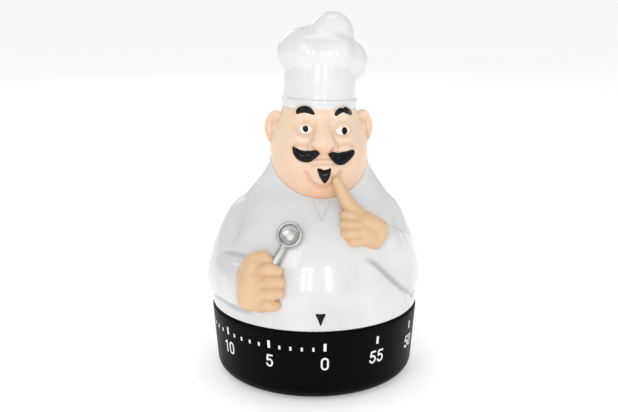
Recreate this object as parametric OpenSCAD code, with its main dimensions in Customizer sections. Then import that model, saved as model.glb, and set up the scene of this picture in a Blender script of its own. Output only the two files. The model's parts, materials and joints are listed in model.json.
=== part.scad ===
// Wind-up kitchen timer: a chef figure is the knob and turns on a black dial base.
// Millimetres, +Z up, front is -Y, origin on the turning axis at the foot.

/* [Dial base] */
// Outer radius of the base at its upper rim
base_r = 33.3; // [31.5:0.1:38]
// Height of the base's upper rim
base_h = 22.9; // [22.5:0.1:24]
// Wall of the base
base_wall = 2; // [1.4:0.1:2.4]
// Radius of the rounded lower corner
base_corner = 4.5; // [2:0.5:7]
// How much smaller the base is just above its lower corner
base_taper = 1.3; // [0:0.1:2]
// Thickness of the soft pad under the base
pad_t = 1.4; // [1:0.1:1.6]
// How far the pad stands out below the base
pad_proud = 0.4; // [0.2:0.1:0.8]

/* [Figure] */
// Gap between the base's rim and the turning figure
turn_gap = 0.3; // [0.2:0.05:0.5]
// How far the figure's lower edge is set back from the base's outline
belly_step = 0.2; // [0:0.05:0.6]
// Height of the collar at the figure's sides
collar_z = 65.2; // [54:0.1:79]
// Radius of the body at the collar
collar_r = 13.8; // [12.6:0.1:16]
// Forward slope of the collar, rise over run
collar_slope = 0.35; // [0:0.01:0.4]
// Wall of the figure's shells
shell_wall = 1.8; // [1.2:0.1:2]
// Sideways place of the head above the turning axis
head_x = 1.5; // [0:0.1:3]
// Height from the collar to the middle of the hat's brim
head_h = 20.6; // [18.5:0.1:22]
// Backward tilt of the hat, in degrees
hat_tilt = 1; // [0:0.5:8]
// Sideways lean of the hat, in degrees
hat_lean = 2; // [0:1:5]
// Radius of the hat's band at the brim
band_r = 11.4; // [10.5:0.1:13]
// Height of the hat's band
band_h = 8.5; // [7.5:0.1:12]
// Height of the hat's top above its band
puff_h = 20.9; // [17:0.1:26]

/* [Movement] */
// Radius of the two movement plates
plate_r = 27; // [26.6:0.1:28]
// Thickness of each plate
plate_t = 0.8; // [0.6:0.1:1]
// Clear height between the plates
plate_gap = 8.4; // [8.4:0.1:8.8]
// Height of the underside of the lower plate
plate_z = 4.6; // [4.4:0.1:4.8]
// Distance of the pillars from the axis
pillar_orbit = 24.2; // [24:0.1:25]
// Radius of a pillar
pillar_r = 1.6; // [1.4:0.1:1.8]
// Radius of the main arbor
arbor_r = 1.9; // [1.6:0.1:2.1]
// Radius of the thin arbors
thin_r = 0.6; // [0.5:0.05:0.8]
// Radius of the thin arbors' pivots
pivot_r = 0.4; // [0.3:0.05:0.45]
// Radial clearance of running fits
run_fit = 0.05; // [0.03:0.01:0.08]

/* [Gear train] */
// Module of the first and second pairs of gears
gear_module = 0.4; // [0.38:0.01:0.41]
// Module of the third pair of gears
fine_module = 0.35; // [0.33:0.01:0.36]
// Teeth of the main wheel
main_teeth = 64; // [60:4:68]
// Teeth of the second wheel
second_teeth = 56; // [52:2:58]
// Teeth of the third wheel
third_teeth = 48; // [44:2:50]
// Leaves of each pinion
pinion_leaves = 8; // [7:1:9]
// Teeth of the escape wheel
escape_teeth = 15; // [12:1:18]
// Radius of the escape wheel
escape_r = 4; // [3.6:0.1:4.2]
// Thickness of a wheel
wheel_t = 0.7; // [0.5:0.05:0.8]

/* [Bell] */
// Outer radius of the bell
bell_r = 24; // [23:0.1:25]
// Thickness of the bell
bell_t = 0.7; // [0.6:0.05:0.9]
// Depth of the bell
bell_h = 4.6; // [4.2:0.1:4.6]

/* [Hidden] */
$fn = 72;
eps = 0.01;

// ---------- colours ----------
ivory_white = "#e9e8e6";
hat_white = "#f4f4f3";
skin = "#f2cfae";
hand_skin = "#e6bd8d";
satin_black = "#141414";
foam_grey = "#3b3b3d";
brass = "#c9a24d";
steel = "#b9bcc0";
spring_blue = "#5d6a80";
bell_nickel = "#cfd0cc";

// ---------- levels of the base and movement ----------
floor_t = 1.6;
floor_z = pad_proud;
pad_r = base_r - base_taper - base_corner - 0.8;
recess_z = pad_t;
lower_top = plate_z + plate_t;
upper_z = lower_top + plate_gap;
upper_top = upper_z + plate_t;
wheel_seat = upper_z - 3.8;
spring_z = lower_top + 0.5;
spring_h = 3.4;
ratchet_t = 0.5;
cam_t = 0.8;
second_z = upper_z - 1.8;
third_z = lower_top + 0.9;
escape_z = lower_top + 3.2;
balance_z = upper_z - 1.9;
lever_z = wheel_seat + wheel_t + 0.3;
lever_t = 0.5;
bell_seat = base_h - 1.5 - bell_t;
bell_low = base_h - 1.5 - bell_h;
nut_t = 1.5;
bell_nut_t = 1;
hub_z = base_h + 0.7;
hub_t = 1.8;
d_end_h = 5.6;

// ---------- places of the arbors ----------
pinion_r = gear_module * pinion_leaves / 2;
fine_pinion_r = fine_module * pinion_leaves / 2;
main_r = gear_module * main_teeth / 2;
second_r = gear_module * second_teeth / 2;
third_r = fine_module * third_teeth / 2;
second_reach = main_r + pinion_r;
third_reach = 18.75;
escape_reach = 17;
pallet_reach = 17;
pallet_gap = escape_r + 1.6;
second_turn = 90;
third_turn = second_turn - side_angle(second_reach, third_reach, second_r + pinion_r);
escape_turn = third_turn - side_angle(third_reach, escape_reach, third_r + fine_pinion_r);
pallet_turn = escape_turn - side_angle(escape_reach, pallet_reach, pallet_gap);
second_at = polar(second_reach, second_turn);
third_at = polar(third_reach, third_turn);
escape_at = polar(escape_reach, escape_turn);
pallet_at = polar(pallet_reach, pallet_turn);
hammer_at = polar(main_r + 1.9, 255);
trip_at = polar(17.5, 218);
pillar_turns = [5, 125, 200, 275];

// ---------- plane geometry ----------
function polar(r, a) = [r * cos(a), r * sin(a)];
function side_angle(a, b, c) = acos((a * a + b * b - c * c) / (2 * a * b));
function bearing(from, to) = atan2(to[1] - from[1], to[0] - from[0]);
function arc(c, r, a0, a1, n) = [for (i = [0:n]) c + polar(r, a0 + (a1 - a0) * i / n)];
function unit(v) = v / norm(v);
function mix(a, b, s) = a + (b - a) * s;

// ---------- blended round masses ----------
// A mass is [centre, radius], and a limb is a list of them. A surface is the soft maximum,
// over the limbs, of how far a ray goes before it has left every mass.
soft = 14;
function far(p, d, ball) =
    let (q = ball[0] - p, along = q * d, gap = along * along - q * q + ball[1] * ball[1])
    gap < 0 ? 0 : max(along + sqrt(gap), 0);
function soft_max(list) = pow([for (v = list) pow(v, soft)] * [for (v = list) 1], 1 / soft);
function reach(p, d, limb) = max([for (b = limb) far(p, d, b)]);
function star(p, d, limbs) = soft_max([for (l = limbs) reach(p, d, l)]);
function chain(a, b, n) = [for (i = [0:n]) [mix(a[0], b[0], i / n), mix(a[1], b[1], i / n)]];

// ---------- figure: body ----------
belly_r = base_r - belly_step;
rim_z = base_h + turn_gap;
body_rows = 22;
body_cols = 32;
side_power = 1.92;
belly_power = 2.6;
function level(share) = mix(rim_z, collar_z, share);
function flip_x(p) = [-p[0], p[1], p[2]];
shoulder = [(collar_r + belly_r) / 2 - 4.9, 1, level(0.6)];
elbow = [belly_r - 7.8, 0, level(0.21)];
left_wrist = concat(polar(belly_r - 4.7, 220), level(0.27));
right_wrist = concat(polar(belly_r - 8.7, -38), level(0.52));
shoulder_r = 9;
elbow_r = 8;
wrist_r = 6.4;
arms = [
    concat(chain([flip_x(shoulder), shoulder_r], [flip_x(elbow), elbow_r], 7),
        chain([flip_x(elbow), elbow_r], [left_wrist, wrist_r], 6)),
    concat(chain([shoulder, shoulder_r], [elbow, elbow_r], 7), chain([elbow, elbow_r], [right_wrist, wrist_r], 7))
];
function torso(a, t) = let (bulge = pow(max(-sin(a), 0), 2))
    collar_r + (belly_r - collar_r) * (1 - pow(t, mix(side_power, belly_power, bulge)));
function collar_at(a, r) = collar_z + collar_slope * r * sin(a);
function body_z(a, t) = mix(rim_z, collar_at(a, collar_r), t);
function body_r(a, t) =
    let (z = body_z(a, t), d = [cos(a), sin(a), 0])
    t >= 1 ? collar_r : soft_max(concat([torso(a, t)], [for (l = arms) reach([0, 0, z], d, l)]));
function body_point(a, t, inset) =
    let (r = body_r(a, t) - inset, z = t >= 1 ? collar_at(a, r) : body_z(a, t))
    [r * cos(a), r * sin(a), z];

// Triangles of a grid with rows of n points. Turn it over with flip.
function grid_faces(rows, n, start, flip) = [
    for (i = [0:rows - 2]) for (j = [0:n - 2])
        let (a = start + i * n + j, b = a + 1, c = a + n, d = c + 1)
        each flip ? [[a, b, d], [a, d, c]] : [[a, d, b], [a, c, d]]
];
// Triangles of a strip between two lists of points
function strip_faces(p, q) = [for (i = [0:len(p) - 2]) each [[p[i], p[i + 1], q[i + 1]], [p[i], q[i + 1], q[i]]]];
// Triangles of rings that close on themselves, with a point at each end of the stack
function stack_faces(rows, n) = concat(
    [for (i = [0:rows - 2]) for (j = [0:n - 1])
        let (a = i * n + j, b = i * n + (j + 1) % n, c = a + n, d = b + n)
        each [[a, c, d], [a, d, b]]],
    [for (j = [0:n - 1]) [rows * n, j, (j + 1) % n]],
    [for (j = [0:n - 1]) [rows * n + 1, (rows - 1) * n + (j + 1) % n, (rows - 1) * n + j]]
);

module half_shell(first) {
    n = body_cols + 1;
    rows = body_rows + 1;
    outer = [for (i = [0:body_rows]) for (j = [0:body_cols])
        body_point(first + 180 * j / body_cols, i / body_rows, 0)];
    inner = [for (i = [0:body_rows]) for (j = [0:body_cols])
        body_point(first + 180 * j / body_cols, i / body_rows, shell_wall)];
    far_side = rows * n;
    low = [for (j = [0:body_cols]) j];
    high = [for (j = [0:body_cols]) body_rows * n + j];
    left = [for (i = [0:body_rows]) i * n];
    right = [for (i = [0:body_rows]) i * n + body_cols];
    polyhedron(
        points = concat(outer, inner),
        faces = concat(
            grid_faces(rows, n, 0, false),
            grid_faces(rows, n, far_side, true),
            strip_faces(low, [for (k = low) k + far_side]),
            strip_faces([for (k = high) k + far_side], high),
            strip_faces([for (k = left) k + far_side], left),
            strip_faces(right, [for (k = right) k + far_side])
        )
    );
}

module stack(points, rows, n) {
    polyhedron(points = points, faces = stack_faces(rows, n));
}
module body_front() {
    color(ivory_white) half_shell(180);
}
module body_back() {
    color(ivory_white) half_shell(0);
}

// ---------- figure: head ----------
head_cols = 56;
face_rows = 19;
head_wall = 1.8;
jaw_r = collar_r + 0.2;
neck_r = collar_r - shell_wall - 0.1;
neck_drop = 5;
head_mid = [head_x, -0.5, collar_z + 8.8];
brim_at = [head_x, 0, collar_z + head_h];
spigot_r = band_r - 1.6;
spigot_h = 5;
head_masses = [
    [[[head_x, 0.5, collar_z + 13], 12.3]],
    chain([[head_x - 2.5, 0.4, collar_z + 8], 13.2], [[head_x + 2.5, 0.4, collar_z + 8], 13.2], 3),
    chain([[head_x - 3.6, -1.5, collar_z + 2.2], 10.7], [[head_x + 3.6, -1.5, collar_z + 2.2], 10.7], 3),
    [[[head_x, -5.6, collar_z + 2.2], 10.6]],
    [[[head_x - 0.3, -3.8, collar_z - 1.6], 12.4]],
    chain([[head_x - 0.2, -13.8, collar_z + 10.6], 4], [[head_x - 0.2, -11.6, collar_z + 14.4], 3], 3),
    chain([[head_x - 13.6, 0.8, collar_z + 13.7], 3.6], [[head_x - 13, 0.4, collar_z + 10.2], 2.9], 2),
    chain([[head_x + 13.8, 0.8, collar_z + 13.7], 3.6], [[head_x + 13.2, 0.4, collar_z + 10.2], 2.9], 2)
];
// A point of the hat's own frame, whose base is the brim, carried to its place
function on_hat(p) =
    let (x = p[0] * cos(hat_lean) + p[2] * sin(hat_lean), z0 = p[2] * cos(hat_lean) - p[0] * sin(hat_lean))
    brim_at + [x, p[1] * cos(hat_tilt) + z0 * sin(hat_tilt), z0 * cos(hat_tilt) - p[1] * sin(hat_tilt)];
function ring_on_hat(r, h, n) = [for (j = [0:n - 1]) on_hat([r * cos(360 * j / n), r * sin(360 * j / n), h])];
function collar_ring(r, drop, n) = [for (j = [0:n - 1])
    let (a = 360 * j / n) [r * cos(a), r * sin(a), collar_at(a, r) - drop]];
function face_ring(s, top, low) = [for (j = [0:head_cols - 1])
    let (d = unit(mix(unit(top[j] - head_mid), unit(low[j] - head_mid), s)))
    head_mid + d * star(head_mid, d, head_masses)];
function face_rings() =
    let (top = ring_on_hat(band_r - 0.6, 0, head_cols), low = collar_ring(jaw_r, 0, head_cols))
    [for (i = [1:face_rows]) each face_ring(i / (face_rows + 1), top, low)];
module head() {
    n = head_cols;
    outside = concat(
        ring_on_hat(spigot_r, spigot_h, n),
        ring_on_hat(spigot_r, 0, n),
        ring_on_hat(band_r - 0.6, 0, n),
        face_rings(),
        collar_ring(jaw_r, 0, n),
        collar_ring(neck_r, 0, n),
        collar_ring(neck_r, neck_drop, n)
    );
    inside = concat(
        collar_ring(neck_r - head_wall, neck_drop, n),
        collar_ring(neck_r - head_wall, -1, n),
        ring_on_hat(spigot_r - head_wall, -1.5, n),
        ring_on_hat(spigot_r - head_wall, spigot_h - head_wall, n)
    );
    color(skin) stack(
        concat(outside, inside, [on_hat([0, 0, spigot_h]), on_hat([0, 0, spigot_h - head_wall])]),
        face_rows + 10, n
    );
}

// ---------- figure: hat ----------
hat_cols = 40;
puff_rows = 15;
brim_lip = 0.35;
puff_mid = [0, 0, band_h + 6];
puff_masses = [
    [[[0, 0, band_h + 6.5], 10.8]],
    [[[3.3, 0.4, band_h + puff_h - 6.6], 6.6]],
    [[[-6.3, -0.8, band_h + 8], 7.3]],
    [[[7.8, -0.6, band_h + 5.7], 6.8]],
    [[[-1.4, -5.2, band_h + 6], 7.4]],
    [[[2, 6, band_h + 6.4], 7.6]]
];
function puff_ring(s, shrink) = [for (j = [0:hat_cols - 1])
    let (a = 360 * j / hat_cols, e = 86 - 122 * s, d = [cos(e) * cos(a), cos(e) * sin(a), sin(e)])
    on_hat(puff_mid + d * star(puff_mid, d, puff_masses) * (1 - shrink))];
module hat() {
    n = hat_cols;
    neck = band_r - 0.7;
    top = puff_mid + [0, 0, star(puff_mid, [0, 0, 1], puff_masses)];
    outside = concat(
        [for (i = [0:puff_rows]) each puff_ring(i / puff_rows, 0)],
        ring_on_hat(neck, band_h - 1, n),
        ring_on_hat(band_r - 0.2, 3.4, n),
        ring_on_hat(band_r, 3, n),
        ring_on_hat(band_r + brim_lip, 0.8, n),
        ring_on_hat(band_r + brim_lip / 2, 0, n),
        ring_on_hat(spigot_r + 0.05, 0, n),
        ring_on_hat(spigot_r + 0.05, spigot_h + 0.1, n),
        ring_on_hat(spigot_r - 1.5, band_h - 1, n)
    );
    inside = [for (i = [puff_rows:-5:0]) each puff_ring(0.84 * i / puff_rows, 0.14)];
    color(hat_white) stack(
        concat(outside, inside, [on_hat(top), on_hat(top - [0, 0, 2.2])]),
        puff_rows + 9 + floor(puff_rows / 5) + 1, n
    );
}

// ---------- figure: hands and spoon ----------
lay = 0.6;
shell_grid = [for (i = [0:body_rows]) [for (j = [0:2 * body_cols]) body_r(180 * j / body_cols, i / body_rows)]];
// Radius of the faceted shells at a bearing and share of their height
function shell_r(a, t) =
    let (u = (a < 0 ? a + 360 : a) * body_cols / 180, v = t * body_rows,
        j = min(floor(u), 2 * body_cols - 1), i = min(floor(v), body_rows - 1), p = u - j,
        low = mix(shell_grid[i][j], shell_grid[i][j + 1], p),
        high = mix(shell_grid[i + 1][j], shell_grid[i + 1][j + 1], p))
    mix(low, high, v - i);
// Is a point clear of the body and the head?
function off_head(p) = let (q = p - head_mid) norm(q) >= star(head_mid, unit(q), head_masses) + lay;
function off_body(p) =
    let (a = atan2(p[1], p[0]), t = (p[2] - rim_z) / (collar_at(a, collar_r) - rim_z))
    t >= 1 || norm([p[0], p[1]]) >= shell_r(a, max(t, 0)) + lay;
function clear(p) = off_body(p) && off_head(p);
function halve(mid, d, low, high, n) =
    let (m = (low + high) / 2)
    n == 0 ? low : clear(mid + d * m) ? halve(mid, d, m, high, n - 1) : halve(mid, d, low, m, n - 1);
// How far a ray goes through the masses before it meets the body or the head
function open_reach(mid, d, limbs) =
    let (r = star(mid, d, limbs), met = [for (k = [1:8]) if (!clear(mid + d * r * k / 8)) k])
    len(met) == 0 ? r : halve(mid, d, r * (met[0] - 1) / 8, r * met[0] / 8, 9);
// A point at a bearing and share of the body's height, standing out from its surface
function on_body(a, t, out) = concat(polar(shell_r(a, t) + out, a), body_z(a, t));
function placed(limbs, at, turn, size) = [for (l = limbs) [for (b = l) let (p = b[0] * size) [
    at + [p[0] * cos(turn) - p[1] * sin(turn), p[0] * sin(turn) + p[1] * cos(turn), p[2]], b[1] * size]]];
// A closed piece round a middle, drawn as rings about an axis, that lies on the body and the head
module settled_piece(mid, axis, limbs, rows, cols) {
    ez = unit(axis);
    ex = unit(cross([0, 1, 0], ez));
    ey = cross(ez, ex);
    function at(e, a) =
        let (d = ex * sin(e) * cos(a) + ey * sin(e) * sin(a) + ez * cos(e))
        mid + d * open_reach(mid, d, limbs);
    rings = [for (i = [1:rows]) for (j = [0:cols - 1]) at(180 * i / (rows + 1), 360 * j / cols)];
    stack(concat(rings, [at(0, 0), at(180, 0)]), rows, cols);
}
// Left fist: four fingers stacked round the spoon's handle, and the thumb over them
fist_at = on_body(234, 0.35, 1.8);
fist_size = 0.9;
finger_gap = 3.9;
fist = placed(concat(
    [chain([[-3, 0.8, 3.6], 5], [[-3, 0.8, -4.4], 5], 3)],
    [for (k = [0:3]) chain([[0, -0.6, 5.2 - finger_gap * k], 2.5],
        [[5.8 - 0.4 * k, 0.4, 4.8 - finger_gap * k], 2.2], 3)],
    [chain([[-3.4, -0.4, 7.6], 2.6], [[3, -1.6, 7.4], 2], 4)],
    [chain([[-4, 1, -0.5], 5.4], [[-7, 3, -0.5], 5], 3)]
), fist_at, 234 - 270, fist_size);
module left_hand() {
    color(hand_skin) settled_piece(fist_at, [0, 0, 1], fist, 25, 36);
}
// Right hand: three fingers folded, the first one raised to the chin
point_at = on_body(-61, 0.75, 2);
tip_at = [head_x + 3.4, -17.8, collar_z - 0.3];
pointing = concat(
    [chain([point_at + [1, 0.6, -2], 4.6], [point_at + [5, 2.4, -4.4], 4.2], 3)],
    [chain([point_at + [5, 3, -1], 4], [point_at + [7, 6, -2], 3.4], 2)],
    [for (k = [0:2]) chain([point_at + [0, -1, 0.2 - 3.1 * k], 2.3],
        [point_at + [-3.8 + 0.9 * k, 0, 0.2 - 3 * k], 1.9], 3)],
    [chain([point_at, 3], [tip_at, 1.6], 7)]
);
module right_hand() {
    color(hand_skin) settled_piece(point_at, tip_at - point_at, pointing, 25, 34);
}
bowl_at = on_body(248.5, 0.73, 3.5);
// The handle ends just short of the fist that holds it
to_fist = unit(fist_at - bowl_at);
spoon_end = fist_at - to_fist * (star(fist_at, -to_fist, fist) + 2);
bowl_r = 4;
module spoon() {
    along = unit(spoon_end - bowl_at);
    face = unit([bowl_at[0], bowl_at[1], 0.6 * norm([bowl_at[0], bowl_at[1]])]);
    color(steel) union() {
        multmatrix(facing(bowl_at, face)) rotate_extrude() difference() {
            translate([0, -1.3]) square([bowl_r, 2.3]);
            translate([0, 4]) circle(r = 4.6);
        }
        multmatrix(facing(bowl_at + along * (bowl_r - 0.6), along))
            linear_extrude(norm(spoon_end - bowl_at) - bowl_r + 0.6) square([1.3, 3], center = true);
    }
}
// Matrix that carries +Z onto a direction and the origin onto a place
function facing(p, d) =
    let (x = unit(cross([0, 0, 1], d)), y = cross(d, x))
    [[x[0], y[0], d[0], p[0]], [x[1], y[1], d[1], p[1]], [x[2], y[2], d[2], p[2]], [0, 0, 0, 1]];

// ---------- figure: hub and main arbor ----------
hub_r = belly_r - shell_wall - 0.15;
skirt_t = 0.8;
skirt_h = 1.7;
socket_r = 4.5;
socket_h = d_end_h + 1.2;
flat_x = arbor_r - 0.6;
rib_count = 6;
rib_t = 1.2;
module d_rod(r, flat, h) {
    linear_extrude(h) difference() {
        circle(r = r);
        translate([flat, -r]) square([r, 2 * r]);
    }
}
module ring_tube(r_in, r_out, h) {
    linear_extrude(h) difference() {
        circle(r = r_out);
        circle(r = r_in);
    }
}
module hub_plate() {
    color(ivory_white) difference() {
        union() {
            translate([0, 0, hub_z]) cylinder(r = hub_r, h = hub_t);
            translate([0, 0, hub_z]) cylinder(r = socket_r, h = socket_h);
            translate([0, 0, hub_z - skirt_h]) ring_tube(base_r - base_wall - 0.4 - skirt_t,
                base_r - base_wall - 0.4, skirt_h);
            for (k = [0:rib_count - 1]) rotate([0, 0, k * 360 / rib_count])
                translate([socket_r - 1, -rib_t / 2, hub_z + hub_t - 0.5]) cube([hub_r - socket_r - 2, rib_t, 2.5]);
        }
        translate([0, 0, hub_z - 1]) d_rod(arbor_r + run_fit, flat_x + run_fit, d_end_h + 1.2);
    }
}
module main_arbor() {
    top = hub_z + d_end_h;
    color(steel) union() {
        translate([0, 0, plate_z + 0.1]) cylinder(r = arbor_r - 0.4, h = plate_t + 0.2);
        translate([0, 0, lower_top + 0.1]) cylinder(r = arbor_r, h = hub_z - lower_top - 0.1);
        translate([0, 0, hub_z - eps]) d_rod(arbor_r, flat_x, top - hub_z);
    }
}

// ---------- gears ----------
// Outline of a wheel: straight flanks to the pitch circle, then a tapered tip
function wheel_outline(m, z, share) = [
    for (k = [0:z - 1]) let (p = 360 / z, c = k * p, r = m * z / 2, h = share * p / 2)
        each [polar(r - 1.5 * m, c - h), polar(r, c - h), polar(r + 0.75 * m, c - h * 0.7),
            polar(r + 1.15 * m, c - h * 0.22), polar(r + 1.15 * m, c + h * 0.22),
            polar(r + 0.75 * m, c + h * 0.7), polar(r, c + h), polar(r - 1.5 * m, c + h)]
];
function pinion_outline(m, z, share) = [
    for (k = [0:z - 1]) let (p = 360 / z, c = k * p, r = m * z / 2, h = share * p / 2)
        each [polar(r - 1.45 * m, c - h), polar(r, c - h), polar(r + 0.4 * m, c - h * 0.6),
            polar(r + 0.4 * m, c + h * 0.6), polar(r, c + h), polar(r - 1.45 * m, c + h)]
];
tooth_share = 0.44;
leaf_share = 0.34;
module toothed(m, z, h, turn) {
    rotate([0, 0, turn]) linear_extrude(h) polygon(wheel_outline(m, z, tooth_share));
}
module leaves(m, h, turn) {
    rotate([0, 0, turn]) linear_extrude(h) polygon(pinion_outline(m, pinion_leaves, leaf_share));
}
// A wheel with a hub, a rim and crossings between them
module crossed_wheel(m, z, h, turn, hole, hub, arms) {
    rim = m * z / 2 - 3.2 * m;
    difference() {
        toothed(m, z, h, turn);
        translate([0, 0, -1]) cylinder(r = hole, h = h + 2);
        translate([0, 0, -1]) linear_extrude(h + 2) difference() {
            circle(r = rim);
            circle(r = hub);
            for (k = [0:arms - 1]) rotate(k * 360 / arms) translate([0, -0.55]) square([rim + 1, 1.1]);
        }
    }
}
half_leaf = 180 / pinion_leaves;
thin_len = plate_gap - 0.2;
module thin_arbor(at) {
    translate([at[0], at[1], plate_z + 0.05]) cylinder(r = pivot_r, h = plate_gap + 2 * plate_t - 0.1);
    translate([at[0], at[1], lower_top + 0.1]) cylinder(r = thin_r, h = thin_len);
}
hub_collar = 1.3;
module main_wheel() {
    color(brass) translate([0, 0, wheel_seat])
        crossed_wheel(gear_module, main_teeth, wheel_t, second_turn, arbor_r + run_fit, 7.2, 4);
}
module second_pinion() {
    color(steel) union() {
        thin_arbor(second_at);
        translate([second_at[0], second_at[1], wheel_seat - 0.4])
            leaves(gear_module, wheel_t + 0.8, second_turn + 180 + half_leaf);
        translate([second_at[0], second_at[1], second_z - 0.5]) cylinder(r = hub_collar, h = 0.5);
    }
}
module second_wheel() {
    color(brass) translate([second_at[0], second_at[1], second_z])
        crossed_wheel(gear_module, second_teeth, wheel_t, bearing(second_at, third_at), thin_r, 2.6, 4);
}
module third_pinion() {
    color(steel) union() {
        thin_arbor(third_at);
        translate([third_at[0], third_at[1], second_z - 0.4])
            leaves(gear_module, wheel_t + 0.8, bearing(third_at, second_at) + half_leaf);
        translate([third_at[0], third_at[1], third_z + wheel_t]) cylinder(r = hub_collar, h = 0.5);
    }
}
module third_wheel() {
    color(brass) translate([third_at[0], third_at[1], third_z])
        crossed_wheel(fine_module, third_teeth, wheel_t, bearing(third_at, escape_at), thin_r, 2.4, 4);
}
module escape_pinion() {
    color(steel) union() {
        thin_arbor(escape_at);
        translate([escape_at[0], escape_at[1], third_z - 0.4])
            leaves(fine_module, wheel_t + 0.8, bearing(escape_at, third_at) + half_leaf);
        translate([escape_at[0], escape_at[1], escape_z - 0.5]) cylinder(r = hub_collar, h = 0.5);
    }
}
escape_t = 0.5;
module escape_wheel() {
    step = 360 / escape_teeth;
    color(brass) translate([escape_at[0], escape_at[1], escape_z]) linear_extrude(escape_t) difference() {
        polygon([for (k = [0:escape_teeth - 1])
            each [polar(escape_r - 1.1, k * step), polar(escape_r, k * step + step * 0.15),
                polar(escape_r - 0.25, k * step + step * 0.3)]]);
        circle(r = thin_r);
    }
}

// ---------- winding work on the main arbor ----------
ratchet_teeth = 16;
ratchet_r = 4.6;
ratchet_z = wheel_seat - ratchet_t;
click_turn = 100;
module ratchet_wheel() {
    step = 360 / ratchet_teeth;
    color(steel) translate([0, 0, ratchet_z]) linear_extrude(ratchet_t) difference() {
        polygon([for (k = [0:ratchet_teeth - 1])
            each [polar(ratchet_r - 0.8, k * step), polar(ratchet_r, k * step + step * 0.85)]]);
        circle(r = arbor_r);
    }
}
module click() {
    tip = polar(ratchet_r + 0.1, click_turn);
    root = polar(ratchet_r + 1.6, click_turn - 40);
    color(steel) translate([0, 0, ratchet_z]) linear_extrude(ratchet_t) polygon([
        tip, polar(ratchet_r + 0.7, click_turn + 4), root + polar(0.9, click_turn - 20),
        root + polar(0.9, click_turn - 80), root + polar(0.9, click_turn - 150)
    ]);
}
cam_r = 5;
notch = 1.6;
nose_turn = 150;
module stop_cam() {
    color(steel) translate([0, 0, wheel_seat + wheel_t]) linear_extrude(cam_t) difference() {
        circle(r = cam_r);
        circle(r = arbor_r);
        rotate(nose_turn) translate([cam_r - 0.8, -notch / 2]) square([2, notch]);
    }
}

// ---------- mainspring ----------
spring_in = arbor_r + 0.4;
spring_out = 8.4;
spring_turns = 6;
spring_t = 0.35;
coil_steps = 22;
spring_end = 200;
function coil(a, off) = polar(spring_in + off + (spring_out - spring_in) * a / (360 * spring_turns), a + spring_end);
module mainspring() {
    last = coil_steps * spring_turns;
    post = polar(pillar_orbit, spring_end);
    color(spring_blue) translate([0, 0, spring_z]) linear_extrude(spring_h) {
        polygon(concat(
            [for (i = [0:last]) coil(360 * i / coil_steps, 0)],
            [for (i = [last:-1:0]) coil(360 * i / coil_steps, spring_t)]
        ));
        difference() {
            union() {
                translate(post) circle(r = pillar_r + 0.5);
                rotate(spring_end) translate([spring_out, -spring_t / 2])
                    square([pillar_orbit - spring_out - pillar_r, spring_t]);
            }
            translate(post) circle(r = pillar_r);
        }
    }
}

// ---------- pallet lever and balance ----------
pallet_z = escape_z;
balance_r = 5;
balance_rim = 0.9;
module pallet_lever() {
    to_wheel = bearing(pallet_at, escape_at);
    color(steel) union() {
        thin_arbor(pallet_at);
        translate([pallet_at[0], pallet_at[1], pallet_z - 0.15]) cylinder(r = hub_collar - 0.3, h = escape_t + 0.3);
        translate([pallet_at[0], pallet_at[1], balance_z - 0.4]) cylinder(r = hub_collar, h = 0.4);
        translate([pallet_at[0], pallet_at[1], pallet_z]) rotate([0, 0, to_wheel]) linear_extrude(escape_t)
            for (s = [-1, 1]) {
                polygon([[0.3, s * 0.2], [-0.1, s * 0.9], [2, s * 4.1], [2.7, s * 3.6]]);
            }
    }
}
module balance_ring() {
    color(brass) translate([pallet_at[0], pallet_at[1], balance_z]) linear_extrude(wheel_t) difference() {
        circle(r = balance_r);
        difference() {
            circle(r = balance_r - balance_rim);
            circle(r = 1.6);
            translate([-balance_r, -0.45]) square([2 * balance_r, 0.9]);
        }
        circle(r = thin_r);
    }
}

// ---------- striking work ----------
hammer_r = 0.8;
arm_z = upper_top + 2.2;
arm_t = 0.8;
head_r = 1.3;
head_turn = 285;
hammer_gap = 0.5;
lever_w = 0.9;
head_reach = bell_r - bell_t - head_r - hammer_gap;
strike_at = polar(head_reach, head_turn);
module bar(from, to, w, h) {
    a = bearing(from, to);
    translate(from) rotate([0, 0, a]) translate([0, -w / 2, 0]) cube([norm(to - from), w, h]);
}
module hammer_arm() {
    tail = hammer_at + polar(6.4, 192);
    color(steel) union() {
        translate([hammer_at[0], hammer_at[1], plate_z + 0.05]) cylinder(r = pivot_r, h = plate_t + 0.2);
        translate([hammer_at[0], hammer_at[1], lower_top + 0.1])
            cylinder(r = hammer_r, h = arm_z + arm_t - lower_top - 0.1);
        translate([0, 0, arm_z]) bar(hammer_at, strike_at, 1.1, arm_t);
        translate([hammer_at[0], hammer_at[1], lever_z]) cylinder(r = 1.4, h = lever_t);
        translate([0, 0, lever_z]) bar(hammer_at, tail, lever_w, lever_t);
    }
}
module hammer_head() {
    color(brass) translate([strike_at[0], strike_at[1], arm_z + arm_t]) cylinder(r = head_r, h = 1.6);
}
module trip_lever() {
    nose = polar(cam_r + lever_w / 2 + 0.25, nose_turn);
    tail = trip_at + polar(4, 290);
    color(steel) union() {
        thin_arbor(trip_at);
        translate([trip_at[0], trip_at[1], lever_z]) cylinder(r = 1.4, h = lever_t);
        translate([0, 0, lever_z]) bar(trip_at, nose, lever_w, lever_t);
        translate([0, 0, lever_z]) bar(trip_at, tail, lever_w, lever_t);
    }
}
leaf_post = polar(9, 245);
module hammer_spring() {
    tip = strike_at * 0.74;
    color(spring_blue) union() {
        translate([leaf_post[0], leaf_post[1], upper_top]) cylinder(r = 0.9, h = arm_z + arm_t - upper_top);
        translate([0, 0, arm_z]) bar(leaf_post, tip, 0.3, arm_t);
    }
}

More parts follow.
